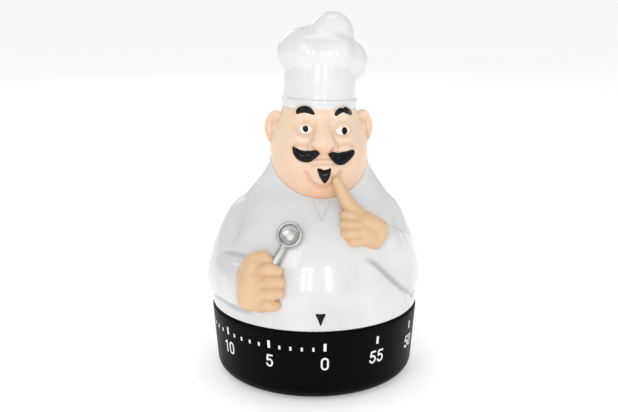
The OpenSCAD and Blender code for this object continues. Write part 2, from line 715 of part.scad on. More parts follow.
// ---------- plates, pillars and fasteners ----------
stud_r = 1.2;
screw_r = 1;
screw_head_r = 2;
screw_head_h = 1;
module plate(z, main_hole, hammer_hole) {
    difference() {
        translate([0, 0, z]) cylinder(r = plate_r, h = plate_t);
        translate([0, 0, z - 1]) cylinder(r = main_hole, h = plate_t + 2);
        for (at = [second_at, third_at, escape_at, pallet_at, trip_at])
            translate([at[0], at[1], z - 1]) cylinder(r = pivot_r + run_fit, h = plate_t + 2);
        translate([hammer_at[0], hammer_at[1], z - 1]) cylinder(r = hammer_hole, h = plate_t + 2);
        for (a = pillar_turns)
            translate([pillar_orbit * cos(a), pillar_orbit * sin(a), z - 1])
                cylinder(r = z > plate_z ? stud_r : screw_r, h = plate_t + 2);
    }
}
module lower_plate() {
    color(brass) plate(plate_z, arbor_r - 0.4 + run_fit, pivot_r + run_fit);
}
module upper_plate() {
    color(brass) plate(upper_z, arbor_r + run_fit, hammer_r + run_fit);
}
module at_pillars(z) {
    for (a = pillar_turns) translate([pillar_orbit * cos(a), pillar_orbit * sin(a), z]) children();
}
module pillars() {
    color(steel) at_pillars(lower_top) difference() {
        union() {
            cylinder(r = pillar_r, h = plate_gap);
            cylinder(r = stud_r, h = plate_gap + plate_t + nut_t);
        }
        translate([0, 0, -1]) cylinder(r = screw_r, h = 4.2);
    }
}
module pillar_nuts() {
    color(steel) at_pillars(upper_top) difference() {
        cylinder(r = 2.2, h = nut_t, $fn = 6);
        translate([0, 0, -1]) cylinder(r = stud_r, h = nut_t + 2);
    }
}
module base_screws() {
    color(steel) at_pillars(recess_z) difference() {
        union() {
            cylinder(r = screw_head_r, h = screw_head_h);
            cylinder(r = screw_r, h = lower_top + 2.6 - recess_z);
        }
        translate([-screw_head_r, -0.25, -1]) cube([2 * screw_head_r, 0.5, 1.4]);
    }
}

// ---------- bell ----------
bushing_r = 4;
bushing_neck = 2.7;
module bell() {
    bend = 3;
    color(bell_nickel) rotate_extrude() polygon(concat(
        [[bushing_neck, bell_seat], [bushing_neck, bell_seat + bell_t]],
        arc([bell_r - bend, bell_seat + bell_t - bend], bend, 90, 0, 8),
        [[bell_r, bell_low], [bell_r - bell_t, bell_low]],
        arc([bell_r - bend, bell_seat + bell_t - bend], bend - bell_t, 0, 90, 8)
    ));
}
module bell_bushing() {
    color(brass) difference() {
        union() {
            translate([0, 0, upper_top]) cylinder(r = bushing_r, h = bell_seat - upper_top);
            translate([0, 0, upper_top]) cylinder(r = bushing_neck, h = bell_seat + bell_t + bell_nut_t - upper_top);
        }
        translate([0, 0, upper_top - 1]) cylinder(r = arbor_r + run_fit, h = 12);
    }
}
module bell_nut() {
    color(brass) translate([0, 0, bell_seat + bell_t]) difference() {
        cylinder(r = 4.2, h = bell_nut_t, $fn = 6);
        translate([0, 0, -1]) cylinder(r = bushing_neck, h = bell_nut_t + 2);
    }
}

// ---------- base ----------
boss_r = 3.2;
module base_shell() {
    low_r = base_r - base_taper;
    in_r = low_r - base_wall;
    floor_top = recess_z + floor_t;
    color(satin_black) difference() {
        union() {
            rotate_extrude($fn = 120) polygon(concat(
                [[0, recess_z], [pad_r, recess_z], [pad_r, floor_z]],
                arc([low_r - base_corner, floor_z + base_corner], base_corner, -90, -8, 8),
                arc([base_r - 0.4, base_h - 0.4], 0.4, 0, 90, 3),
                [[base_r - base_wall, base_h], [in_r, floor_top + 3]],
                arc([in_r - 2.4, floor_top + 2.4], 2.4, 0, -90, 5),
                [[0, floor_top]]
            ));
            at_pillars(floor_top - eps) cylinder(r = boss_r, h = plate_z - floor_top + eps);
        }
        at_pillars(0) cylinder(r = screw_r, h = plate_z + 1);
        at_pillars(0) cylinder(r = screw_head_r, h = recess_z + screw_head_h);
    }
}
module base_pad() {
    color(foam_grey) cylinder(r = pad_r - 0.1, h = pad_t);
}

base_shell();
base_pad();
base_screws();
lower_plate();
upper_plate();
pillars();
pillar_nuts();
mainspring();
bell();
bell_bushing();
bell_nut();
hammer_spring();
body_front();
body_back();
head();
hat();
left_hand();
right_hand();
spoon();
hub_plate();
main_arbor();
main_wheel();
ratchet_wheel();
click();
stop_cam();
second_pinion();
second_wheel();
third_pinion();
third_wheel();
escape_pinion();
escape_wheel();
pallet_lever();
balance_ring();
hammer_arm();
hammer_head();
trip_lever();
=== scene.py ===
"""Wind-up kitchen timer: the chef figure, its dial base and the finishes of every piece.

Lengths are worked out in millimetres, +Z up, front -Y, and become metres where a mesh is made.
"""

import json
import math

import bpy
import numpy as np
from mathutils import Matrix, Vector


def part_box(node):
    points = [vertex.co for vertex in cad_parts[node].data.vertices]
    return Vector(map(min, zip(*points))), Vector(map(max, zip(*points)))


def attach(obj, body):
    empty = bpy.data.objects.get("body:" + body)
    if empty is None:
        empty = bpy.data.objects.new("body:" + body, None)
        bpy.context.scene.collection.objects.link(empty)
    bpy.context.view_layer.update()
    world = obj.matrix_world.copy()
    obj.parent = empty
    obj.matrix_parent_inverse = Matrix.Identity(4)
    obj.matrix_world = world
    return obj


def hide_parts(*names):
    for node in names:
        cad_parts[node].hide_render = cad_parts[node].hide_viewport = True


bl_info = {
    "name": "Chef kitchen timer",
    "version": (1, 0, 0),
    "blender": (4, 5, 0),
    "location": "View3D > Sidebar > Timer",
    "description": "Builds the visible pieces of a wind-up chef kitchen timer",
    "category": "Object",
}

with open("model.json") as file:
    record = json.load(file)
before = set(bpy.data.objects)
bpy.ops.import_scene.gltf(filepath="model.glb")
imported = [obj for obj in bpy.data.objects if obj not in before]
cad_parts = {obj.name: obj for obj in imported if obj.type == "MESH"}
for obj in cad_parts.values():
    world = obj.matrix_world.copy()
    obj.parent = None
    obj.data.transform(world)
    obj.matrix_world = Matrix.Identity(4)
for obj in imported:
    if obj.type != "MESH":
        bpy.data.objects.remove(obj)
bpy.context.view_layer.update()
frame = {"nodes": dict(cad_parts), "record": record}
MM = 0.001


def box_mm(node):
    """Lowest and highest corner of a CAD node, in millimetres."""
    low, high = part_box(node)
    return np.array(low) / MM, np.array(high) / MM


# ---------- places that come from the frame ----------
BASE_LOW, BASE_HIGH = box_mm("base_shell")
FRONT_LOW, FRONT_HIGH = box_mm("body_front")
PAD_LOW, PAD_HIGH = box_mm("base_pad")
BASE_R = float(BASE_HIGH[0])
BASE_TOP = float(BASE_HIGH[2])
RIM_Z = float(FRONT_LOW[2])
COLLAR_Z = float(FRONT_HIGH[2])
BELLY_STEP = 0.2
BELLY_R = BASE_R - BELLY_STEP
HEAD_X = 1.5
HEAD_TALL = 20.6
BRIM_Z = COLLAR_Z + HEAD_TALL
HEAD_AT = np.array([HEAD_X, 0.0, COLLAR_Z])

# ---------- round masses seen along rays ----------
SOFT = 14


def unit(v):
    """Vectors divided by their lengths."""
    return v / np.linalg.norm(v, axis=-1, keepdims=True)


def chain(start, start_r, end, end_r, count):
    """Balls evenly spaced from one ball to another, as rows of centre and radius."""
    s = np.linspace(0, 1, count)[:, None]
    return np.hstack([start, start_r]) * (1 - s) + np.hstack([end, end_r]) * s


def reach(origin, ray, limb):
    """Farthest distance at which a ray leaves any ball: along + sqrt(along^2 - gap^2 + radius^2)."""
    to_ball = limb[:, :3] - origin[..., None, :]
    along = (to_ball * ray[..., None, :]).sum(-1)
    inside = along**2 - (to_ball**2).sum(-1) + limb[:, 3] ** 2
    leave = np.where(inside < 0, 0, along + np.sqrt(np.maximum(inside, 0)))
    return np.maximum(leave, 0).max(-1)


def soft_max(values):
    """Blended maximum: the p-norm of the distances, with a high power p."""
    return (np.stack(values) ** SOFT).sum(0) ** (1 / SOFT)


def smooth_loop(points, samples):
    """Closed smooth curve through points: a Catmull-Rom cubic between each pair."""
    p = np.asarray(points, float)
    n = len(p)
    t = np.linspace(0, n, samples, endpoint=False)
    i = t.astype(int)
    f = (t - i)[:, None]
    a, b, c, d = p[(i - 1) % n], p[i], p[(i + 1) % n], p[(i + 2) % n]
    return 0.5 * (2 * b + (c - a) * f + (2 * a - 5 * b + 4 * c - d) * f**2 + (3 * b - a - 3 * c + d) * f**3)


def path_distance(x, y, path):
    """Shortest distance from points to a polyline, segment by segment."""
    best = np.full(np.shape(x), np.inf)
    p = np.asarray(path, float)
    for (ax, ay), (bx, by) in zip(p[:-1], p[1:]):
        dx, dy = bx - ax, by - ay
        s = np.clip(((x - ax) * dx + (y - ay) * dy) / (dx * dx + dy * dy), 0, 1)
        best = np.minimum(best, np.hypot(x - ax - s * dx, y - ay - s * dy))
    return best


def groove(distance, depth, width):
    """Rounded valley: minus depth times a bell curve of the distance."""
    return -depth * np.exp(-((distance / width) ** 2))


# ---------- the head's surface ----------
HEAD_MID = HEAD_AT + [0, -0.5, 8.8]
FACE_BACK = HEAD_MID[1] - 4
HEAD_MASSES = [
    chain([0, 0.4, 12.6], 12.2, [0, 0.3, 17], 12.0, 3),
    chain([-2.4, 0.4, 8], 13.0, [2.4, 0.4, 8], 13.0, 4),
    chain([-3.6, -1.5, 2.2], 11.0, [3.6, -1.5, 2.2], 11.0, 4),
    np.array([[-5.2, -5.9, 5.8, 7.6], [5.2, -5.9, 5.8, 7.6]]),
    np.array([[0, -5.4, 2.2, 10.4]]),
    np.array([[-0.3, -3.6, -1.2, 12.2]]),
    np.array([[-0.4, -11.6, 2.9, 4.9]]),
    chain([-0.2, -14.4, 11.1], 3.3, [-0.2, -10.8, 17.0], 2.0, 8),
    np.array([[-2.8, -13.4, 10.0, 1.9], [2.4, -13.4, 10.0, 1.9]]),
    np.array([[0, -10.2, 6.6, 5.0]]),
    chain([-5.4, -8.6, 19.2], 3.0, [5.0, -8.6, 19.2], 3.0, 7),
    np.array([[-5.8, -8.6, 10.2, 4.7], [5.6, -8.6, 10.2, 4.7]]),
]
# Creases of the face: depth, width and the line's places across and up from the head's foot
FACE_CREASES = [
    (0.4, 0.6, [(-9.6, 10.2), (-8.0, 10.9), (-5.2, 10.6), (-3.4, 10.0), (-2.7, 9.2)]),
    (0.4, 0.6, [(2.4, 9.2), (3.0, 9.9), (4.8, 10.6), (7.4, 10.8), (9.4, 9.9)]),
    (0.35, 0.45, [(-2.6, 6.6), (-0.2, 6.9), (2.2, 6.6)]),
    (0.35, 0.5, [(-4.0, 4.9), (-0.2, 5.5), (3.6, 4.9)]),
    (0.6, 0.7, [(-5.4, 2.4), (-4.4, 0.0), (-2.4, -1.6), (-0.4, -2.1), (1.8, -1.6), (4.0, 0.2), (5.0, 2.4)]),
]
EYE_AT = [(-5.3, 15.2), (6.1, 14.9)]


def face_detail(p):
    """Creases of the face and shallow sockets of the eyes, by distance across the front."""
    x, z = p[..., 0] - HEAD_AT[0], p[..., 2] - HEAD_AT[2]
    out = np.zeros(np.shape(x))
    for depth, width, line in FACE_CREASES:
        out = out + groove(path_distance(x, z, line), depth, width)
    for ex, ez in EYE_AT:
        far = np.hypot((x - ex) / 2.9, (z - ez) / 2.1)
        out = out - 0.5 * np.exp(-(far**2)) + 0.16 * np.exp(-(((far - 1.15) / 0.28) ** 2))
    return np.where(p[..., 1] < FACE_BACK, out, 0)


def head_radius(ray):
    """Distance from the head's middle to its skin: the blended masses, then the face's details."""
    origin = np.broadcast_to(HEAD_MID - HEAD_AT, ray.shape)
    r = soft_max([reach(origin, ray, limb) for limb in HEAD_MASSES])
    return r + face_detail(HEAD_MID + ray * r[..., None])


def head_front(x, z):
    """Y of the skin in front of a place (x, z), by halving the span in which it lies."""
    near, out = np.full(np.shape(x), HEAD_MID[1] - 2.0), np.full(np.shape(x), -24.0)
    for _ in range(30):
        y = (near + out) / 2
        p = np.stack([x, y, z], -1) - HEAD_MID
        inside = np.linalg.norm(p, axis=-1) < head_radius(unit(p))
        near, out = np.where(inside, y, near), np.where(inside, out, y)
    return (near + out) / 2


# ---------- the shirt's surface ----------
COLLAR_LINE = 69.8
COLLAR_FALL = 0.65
SHIRT_EDGE = 0.25
SHIRT_WALL = 1.8
ARM_R = (9.0, 8.0, 6.4)


def level(share):
    """Height at a share of the way from the figure's lower edge to its collar."""
    return RIM_Z + (COLLAR_Z - RIM_Z) * share


def polar(r, a, z):
    """Points at radii, angles in radians and heights."""
    return np.stack([r * np.cos(a), r * np.sin(a), z + 0 * a], -1)


def around(r, bearing, z):
    """Point at a radius, a bearing in degrees and a height."""
    return polar(r, np.radians(bearing), z)


SHOULDER = np.array([18.6, 1, level(0.6)])
ELBOW = np.array([BELLY_R - 7.8, 0, level(0.21)])
LEFT_WRIST = around(BELLY_R - 4.7, 220.0, level(0.27))
RIGHT_WRIST = around(BELLY_R - 8.9, -38.0, level(0.50))
FLIP = np.array([-1, 1, 1])
ARMS = [
    np.vstack([
        chain(SHOULDER * FLIP, ARM_R[0], ELBOW * FLIP, ARM_R[1], 44),
        chain(ELBOW * FLIP, ARM_R[1], LEFT_WRIST, ARM_R[2], 36),
    ]),
    np.vstack([
        chain(SHOULDER, ARM_R[0], ELBOW, ARM_R[1], 44),
        chain(ELBOW, ARM_R[1], RIGHT_WRIST, ARM_R[2], 40),
    ]),
]
# Creases of the shirt: depth, width and the line's bearings and heights
SHIRT_CREASES = [
    (0.8, 0.9, [(-167, 41.4), (-150, 42.8), (-139.6, 43.0), (-132, 44.6)]),
    (0.7, 0.7, [(-228, 26.0), (-208, 26.4), (-192, 26.2), (-176, 26.4), (-170, 26.9), (-155, 27.7),
                (-143, 27.1), (-128, 27.2)]),
    (0.3, 1.3, [(-164, 54.7), (-154, 48.5), (-158, 42.2)]),
    (0.3, 1.3, [(-16, 54.7), (-25, 49.5), (-29, 44.0)]),
    (1.0, 0.9, [(-66, 44.5), (-56.9, 41.2), (-50.2, 37.2), (-40.5, 32.4), (-26.2, 27.5), (-12, 26.2),
                (8, 26.6), (42, 26.2)]),
    (0.42, 0.26, [(-97.9, 59.9), (-94.6, 58.0), (-92.2, 56.6), (-89.4, 54.3)]),
    (0.42, 0.26, [(-77.6, 59.2), (-81.0, 57.8), (-84.8, 56.6), (-89.4, 54.3)]),
]


def skin_radius_at_collar(a):
    """Radius where the collar's plane meets the skin at each bearing, by halving a span."""
    low, high = np.full(a.shape, 6.0), np.full(a.shape, 24.0)
    for _ in range(26):
        r = (low + high) / 2
        p = polar(r, a, collar_height(r * np.sin(a))) - HEAD_MID
        inside = np.linalg.norm(p, axis=-1) < head_radius(unit(p))
        low, high = np.where(inside, r, low), np.where(inside, high, r)
    return (low + high) / 2


def collar_height(y):
    """Height of the collar's line: it falls to the front and is nearly level at the back."""
    return COLLAR_LINE + COLLAR_FALL * np.minimum(y, 0) + 0.04 * np.maximum(y, 0)


COLLAR_ANGLES = np.radians(np.linspace(-270, 270, 541))
COLLAR_RADII = skin_radius_at_collar(COLLAR_ANGLES) + SHIRT_EDGE


def collar_edge(a):
    """Radius and height of the shirt's upper edge at each bearing."""
    r = np.interp(a, COLLAR_ANGLES, COLLAR_RADII)
    return r, collar_height(r * np.sin(a))


def shirt_fold(a, z):
    """Creases of the cloth by distance along and up the surface, from minus one crease's depth."""
    deg = np.degrees(a)
    along = BELLY_R * math.pi / 180
    out = np.zeros(np.shape(a))
    for depth, width, line in SHIRT_CREASES:
        path = [(b * along, h) for b, h in line]
        for turn in (0, 360):
            x = (deg - turn) * along
            fade = 1.0
            for ex, ez in (path[0], path[-1]) if width > 0.5 else ():
                fade = fade * (1 - np.exp(-(((x - ex) ** 2 + (z - ez) ** 2) / 16)))
            out = out + groove(path_distance(x, z, path), depth, width) * fade
    return out


def shirt_radius(a, z):
    """Radius of the shirt: edge + (belly - edge) (1 - t^p)^q, blended with both arms, less the creases."""
    edge_r, edge_z = collar_edge(a)
    t = np.clip((z - RIM_Z) / (edge_z - RIM_Z), 0, 1)
    front = np.maximum(-np.sin(a), 0) ** 2
    p, q = 3.2 - 0.6 * front, 1.8 - 0.8 * front
    torso = edge_r + (BELLY_R - edge_r) * (1 - t**p) ** q
    ray, origin = polar(1, a, 0), polar(0, a, z)
    r = soft_max([torso] + [reach(origin, ray, limb) for limb in ARMS])
    r = np.where(t >= 1, edge_r, r)
    return r + shirt_fold(a, z) * np.clip((1 - t) * 12, 0, 1)


# ---------- shader expressions ----------
class Value:
    """A socket of a material; arithmetic on it adds Math nodes."""

    def __init__(self, paint, socket):
        self.paint, self.socket = paint, socket

    def _math(self, operation, first, second):
        return self.paint.node("ShaderNodeMath", {"operation": operation}, {0: first, 1: second})

    def __add__(self, other):
        return self._math("ADD", self, other)

    def __mul__(self, other):
        return self._math("MULTIPLY", self, other)

    __radd__, __rmul__ = __add__, __mul__


class Paint:
    """A material built round one Principled shader."""

    def __init__(self, name, **constants):
        self.material = bpy.data.materials.new(name)
        self.material.use_nodes = True
        self.tree = self.material.node_tree
        self.shader = self.tree.nodes["Principled BSDF"]
        for key, value in constants.items():
            self.shader.inputs[key.replace("_", " ")].default_value = value

    def node(self, kind, settings=None, inputs=None, output=0):
        """Any node: its settings first, then the values or links of its sockets."""
        made = self.tree.nodes.new(kind)
        for key, value in (settings or {}).items():
            if key == "stops":
                ramp = made.color_ramp
                while len(ramp.elements) < len(value):
                    ramp.elements.new(0.5)
                for element, (place, colour) in zip(ramp.elements, value):
                    element.position, element.color = place, colour
            else:
                setattr(made, key, value)
        for key, value in (inputs or {}).items():
            self.put(made.inputs[key], value)
        return Value(self, made.outputs[output])

    def put(self, socket, value):
        """A link from a value, or a plain default."""
        if isinstance(value, Value):
            self.tree.links.new(value.socket, socket)
        else:
            socket.default_value = value

    def set(self, name, value):
        """Feeds one of the shader's sockets."""
        self.put(self.shader.inputs[name], value)
        return self

    def place(self):
        """Object coordinates, in metres."""
        return self.node("ShaderNodeTexCoord", output="Object")

    def height(self):
        """Height over the origin, in metres."""
        return self.node("ShaderNodeSeparateXYZ", {}, {0: self.place()}, output="Z")

    def fold(self):
        """The piece's fold attribute: its share of painted shade."""
        return self.node("ShaderNodeAttribute", {"attribute_name": "fold"}, output="Fac")

    def noise(self, scale, detail=3.0, roughness=0.5, stretch=None):
        """Cloudy pattern, scale in lumps per metre, optionally stretched along an axis."""
        where = self.place()
        if stretch:
            where = self.node("ShaderNodeMapping", {}, {"Vector": where, "Scale": stretch})
        return self.node("ShaderNodeTexNoise", {}, {
            "Vector": where, "Scale": scale, "Detail": detail, "Roughness": roughness})

    def cells(self, scale):
        """Rounded cells by distance from scattered points, scale in cells per metre."""
        return self.node("ShaderNodeTexVoronoi", {}, {
            "Vector": self.place(), "Scale": scale}, output="Distance")

    def span(self, value, low, high, to_low=0.0, to_high=1.0):
        """A value's span carried smoothly to another span."""
        return self.node("ShaderNodeMapRange", {"interpolation_type": "SMOOTHSTEP"}, {
            "Value": value, "From Min": low, "From Max": high, "To Min": to_low, "To Max": to_high})

    def near(self, point_mm, radius_mm):
        """Soft spot round a place: one at its middle and nothing beyond its radius."""
        gap = self.node("ShaderNodeVectorMath", {"operation": "DISTANCE"}, {
            0: self.place(), 1: tuple(float(c) * MM for c in point_mm)}, output="Value")
        return self.span(gap, 0.0, radius_mm * MM, 1.0, 0.0)

    def mix(self, share, first, second):
        """Colour between two others."""
        made = self.tree.nodes.new("ShaderNodeMix")
        made.data_type = "RGBA"
        self.put(made.inputs[0], share)
        self.put(made.inputs[6], first)
        self.put(made.inputs[7], second)
        return Value(self, made.outputs[2])

    def bump(self, height, distance_mm, strength=1.0):
        """Relief from a height pattern."""
        relief = self.node("ShaderNodeBump", {}, {
            "Strength": strength, "Distance": distance_mm * MM, "Height": height})
        return self.set("Normal", relief)


def tone(red, green, blue):
    """Screen colour from 0 to 255 as the linear colour that shaders use."""
    c = np.array([red, green, blue]) / 255
    linear = np.where(c <= 0.04045, c / 12.92, ((c + 0.055) / 1.055) ** 2.4)
    return (*[float(v) for v in linear], 1.0)


# ---------- finishes ----------
def gloss_plastic(name, colour, shade, rough=0.2, coat=0.7):
    """Moulded, glossy plastic: faint flow clouds, hairline wear in the gloss and a little dust."""
    paint = Paint(name, IOR=1.45, Coat_Weight=coat, Coat_Roughness=0.03)
    clouds = paint.noise(60, 4)
    specks = paint.span(paint.noise(2600, 2), 0.66, 0.74)
    wear = paint.noise(420, 6, 0.62, stretch=(1, 1, 0.25))
    base = paint.mix(paint.span(clouds, 0.35, 0.7), colour, shade)
    paint.set("Base Color", paint.mix(specks * 0.12, base, shade))
    paint.set("Roughness", rough + wear * 0.1 + specks * 0.15)
    return paint.bump(paint.noise(260, 3) + paint.noise(1500, 2) * 0.12, 0.03, 0.35)


def folded_plastic(name, colour, shade, deep, rough=0.16):
    """Glossy plastic with painted shadow in its creases: the piece's fold attribute mixes in a darker tone.
    """
    paint = gloss_plastic(name, colour, shade, rough)
    fold = paint.fold()
    base = paint.shader.inputs["Base Color"].links[0].from_socket
    # Painted shadow: the deep tone goes where the fold attribute marks a crease.
    return paint.set("Base Color", paint.mix(fold, Value(paint, base), deep))


def skin_finish():
    """Satin skin paint: warmer cheeks, painted shade under the nose, chin and jowl, and painted shade in the
    creases.
    """
    paint = Paint("skin_paint", IOR=1.45, Coat_Weight=0.25, Coat_Roughness=0.12, Subsurface_Weight=0.08)
    paint.shader.inputs["Subsurface Scale"].default_value = 0.002
    light, warm, deep = colours("skin"), tone(231, 184, 148), tone(210, 154, 116)
    # Warmer cheeks, and painted shade under the nose and under the chin.
    warm_cheeks_and_shade = (paint.near(HEAD_AT + [-9, -9, 6], 7) * 0.5 + paint.near(HEAD_AT + [9, -9, 6], 7) * 0.5
             + paint.near(HEAD_AT + [-0.2, -17, 9.5], 4.5) * 0.8
             + paint.near(HEAD_AT + [0, -12, -5.5], 9) * 0.55)
    height = paint.height()
    # Painted shade: warmer and darker towards the foot of the head, under the jowl.
    jowl = paint.span(height, (COLLAR_Z - 4) * MM, (COLLAR_Z + 7) * MM, 0.55, 0.0)
    blotch = paint.noise(160, 4)
    colour = paint.mix(warm_cheeks_and_shade + jowl, light, warm)
    colour = paint.mix(paint.span(blotch, 0.4, 0.75) * 0.22, colour, warm)
    # Painted shade in the face's creases and the ears' hollows, from the fold attribute.
    fold = paint.fold()
    paint.set("Base Color", paint.mix(fold * 0.75, colour, deep))
    paint.set("Roughness", 0.27 + paint.noise(900, 4) * 0.14)
    return paint.bump(paint.noise(1400, 3) + paint.noise(300, 2) * 0.5, 0.025, 0.4)


def hand_finish():
    """Satin tan paint for the hands, with painted shade between the fingers."""
    paint = Paint("hand_paint", IOR=1.45, Coat_Weight=0.2, Coat_Roughness=0.15)
    light, warm, deep = colours("hands"), tone(212, 171, 129), tone(192, 142, 98)
    fold = paint.fold()
    colour = paint.mix(paint.span(paint.noise(210, 4), 0.35, 0.75) * 0.6, light, warm)
    # Painted shade between the fingers, from the fold attribute.
    paint.set("Base Color", paint.mix(fold * 0.4, colour, deep))
    paint.set("Roughness", 0.3 + paint.noise(800, 4) * 0.16)
    return paint.bump(paint.noise(1200, 3), 0.025, 0.4)


def eye_finish():
    """White eye paint, creamier in soft clouds."""
    paint = Paint("eye_paint", IOR=1.5, Coat_Weight=0.4, Coat_Roughness=0.05)
    paint.set("Base Color", paint.mix(paint.noise(500, 3), tone(255, 250, 242), tone(246, 236, 224)))
    paint.set("Roughness", 0.18 + paint.noise(800, 3) * 0.1)
    return paint.bump(paint.noise(900, 2), 0.02, 0.3)


def black_gloss(name, rough=0.1):
    """Thick black gloss paint with a soft orange-peel surface."""
    paint = Paint(name, IOR=1.45, Specular_IOR_Level=0.12, Coat_Weight=0.22, Coat_Roughness=0.04)
    paint.set("Base Color", paint.mix(paint.noise(300, 3), tone(5, 5, 6), tone(15, 13, 13)))
    paint.set("Roughness", rough + paint.noise(700, 3) * 0.12)
    return paint.bump(paint.noise(900, 2), 0.03, 0.4)


def satin_base():
    """Black satin plastic: fine moulded grain, faint scuffs round the rim and lower corner."""
    paint = Paint("base_plastic", IOR=1.45, Specular_IOR_Level=0.05)
    height = paint.height()
    edge = paint.span(height, (BASE_TOP - 0.9) * MM, BASE_TOP * MM) + paint.span(height, 4.5 * MM, 0.8 * MM)
    scuff = paint.span(paint.noise(700, 6, 0.6), 0.52, 0.72) * edge
    fine = paint.noise(2400, 3)
    paint.set("Base Color", paint.mix(scuff * 0.3 + fine * 0.12, tone(3, 3, 3), tone(32, 31, 30)))
    paint.set("Roughness", 0.32 + paint.noise(380, 5) * 0.16 + scuff * 0.2)
    return paint.bump(fine + paint.noise(240, 2) * 0.5, 0.03, 0.4)


def white_ink():
    """Printed white ink, thin in places so that a little of the black shows."""
    paint = Paint("dial_ink", IOR=1.45)
    thin = paint.span(paint.noise(1900, 4), 0.58, 0.78)
    paint.set("Base Color", paint.mix(thin * 0.35, tone(240, 240, 238), tone(150, 150, 150)))
    paint.set("Roughness", 0.45 + paint.noise(900, 3) * 0.2)
    return paint.bump(paint.noise(2600, 2), 0.01, 0.5)


def metal(name, colour, shade, rough, brushed=(1, 1, 1)):
    """Metal with brushed streaks, tarnish clouds and fine pits."""
    paint = Paint(name, Metallic=1.0)
    clouds = paint.span(paint.noise(240, 5), 0.38, 0.72)
    streak = paint.noise(1800, 5, 0.65, stretch=brushed)
    paint.set("Base Color", paint.mix(clouds, colour, shade))
    paint.set("Roughness", rough + streak * 0.18 + clouds * 0.06)
    return paint.bump(streak + paint.noise(3200, 2) * 0.3, 0.01, 0.35)


def silver_paint():
    """Silver paint on plastic: a metal flake in a clear coat, its tone varying in soft clouds."""
    paint = Paint("spoon_paint", Metallic=0.85, Coat_Weight=0.3, Coat_Roughness=0.1)
    flake = paint.cells(5200.0)
    paint.set("Base Color", paint.mix(paint.noise(380, 3), tone(200, 200, 196), tone(158, 158, 154)))
    paint.set("Roughness", 0.2 + flake * 0.12 + paint.noise(500, 3) * 0.1)
    return paint.bump(flake + paint.noise(600, 2), 0.015, 0.3)


def foam_finish():
    """Dense black foam: open pores and worn lighter patches where it rubs."""
    paint = Paint("foam", Sheen_Weight=0.15)
    pores = paint.cells(2300.0)
    worn = paint.span(paint.noise(90, 4), 0.45, 0.75)
    paint.set("Base Color", paint.mix(worn * 0.5 + pores * 0.3, tone(38, 38, 40), tone(84, 84, 86)))
    paint.set("Roughness", 0.78 + pores * 0.2)
    return paint.bump(pores, 0.08, 0.8)


# ---------- meshes from grids ----------
def quads(rows, cols, wrap_rows=False, wrap_cols=True):
    """Corner numbers of a grid's faces, its rows and columns joined end to end if asked."""
    i, j = np.meshgrid(np.arange(rows if wrap_rows else rows - 1),
                       np.arange(cols if wrap_cols else cols - 1), indexing="ij")
    up, on = (i + 1) % rows, (j + 1) % cols
    return np.stack([i * cols + j, i * cols + on, up * cols + on, up * cols + j], -1).reshape(-1, 4)


def outwards(points, quad, tri):
    """Points and faces, turned over if the volume they enclose comes out negative."""
    a, b, c = points[tri[:, 0]], points[tri[:, 1]], points[tri[:, 2]]
    volume = (a * np.cross(b, c)).sum()
    for k in (1, 2):
        a, b, c = points[quad[:, 0]], points[quad[:, k]], points[quad[:, k + 1]]
        volume += (a * np.cross(b, c)).sum()
    if volume < 0:
        quad, tri = quad[:, ::-1], tri[:, ::-1]
    return points, quad, tri


NO_TRI = np.zeros((0, 3), int)


def closed(rings):
    """Closed solid from rings of equal length, with a fan to the mean point of each end ring."""
    rows, cols = rings.shape[:2]
    points = np.vstack([rings.reshape(-1, 3), rings[0].mean(0), rings[-1].mean(0)])
    j = np.arange(cols)
    on, last = (j + 1) % cols, (rows - 1) * cols
    low = np.stack([on, j, 0 * j + rows * cols], -1)
    high = np.stack([last + j, last + on, 0 * j + rows * cols + 1], -1)
    return outwards(points, quads(rows, cols), np.vstack([low, high]))


def walled(outer, inner):
    """Closed wall between two open grids, joined all round their border."""
    rows, cols = outer.shape[:2]
    count = rows * cols
    grid = np.arange(count).reshape(rows, cols)
    loop = np.concatenate([grid[0, :-1], grid[:-1, -1], grid[-1, :0:-1], grid[:0:-1, 0]])
    ahead = np.roll(loop, -1)
    strip = np.stack([ahead, loop, loop + count, ahead + count], -1)
    face = quads(rows, cols, wrap_cols=False)
    points = np.vstack([outer.reshape(-1, 3), inner.reshape(-1, 3)])
    return outwards(points, np.vstack([face, face[:, ::-1] + count, strip]), NO_TRI)


def lathe(profile, count=224):
    """Rings of a profile of radius and height turned about +Z."""
    a = np.linspace(0, 2 * np.pi, count, endpoint=False)
    r, z = np.asarray(profile, float).T
    return polar(r[:, None], a, z[:, None])


def corner(middle, radius, start, end, count=8):
    """Points of an arc in a profile, from one angle to another in degrees."""
    a = np.radians(np.linspace(start, end, count))
    return [(middle[0] + radius * math.cos(t), middle[1] + radius * math.sin(t)) for t in a]


def smooth_path(points, count):
    """Open Catmull-Rom curve through rows of values."""
    p = np.asarray(points, float)
    p = np.vstack([2 * p[0] - p[1], p, 2 * p[-1] - p[-2]])
    t = np.linspace(0, len(p) - 3, count)
    i = np.minimum(t.astype(int), len(p) - 4)
    f = (t - i)[:, None]
    a, b, c, d = p[i], p[i + 1], p[i + 2], p[i + 3]
    return 0.5 * (2 * b + (c - a) * f + (2 * a - 5 * b + 4 * c - d) * f**2 + (3 * b - a - 3 * c + d) * f**3)


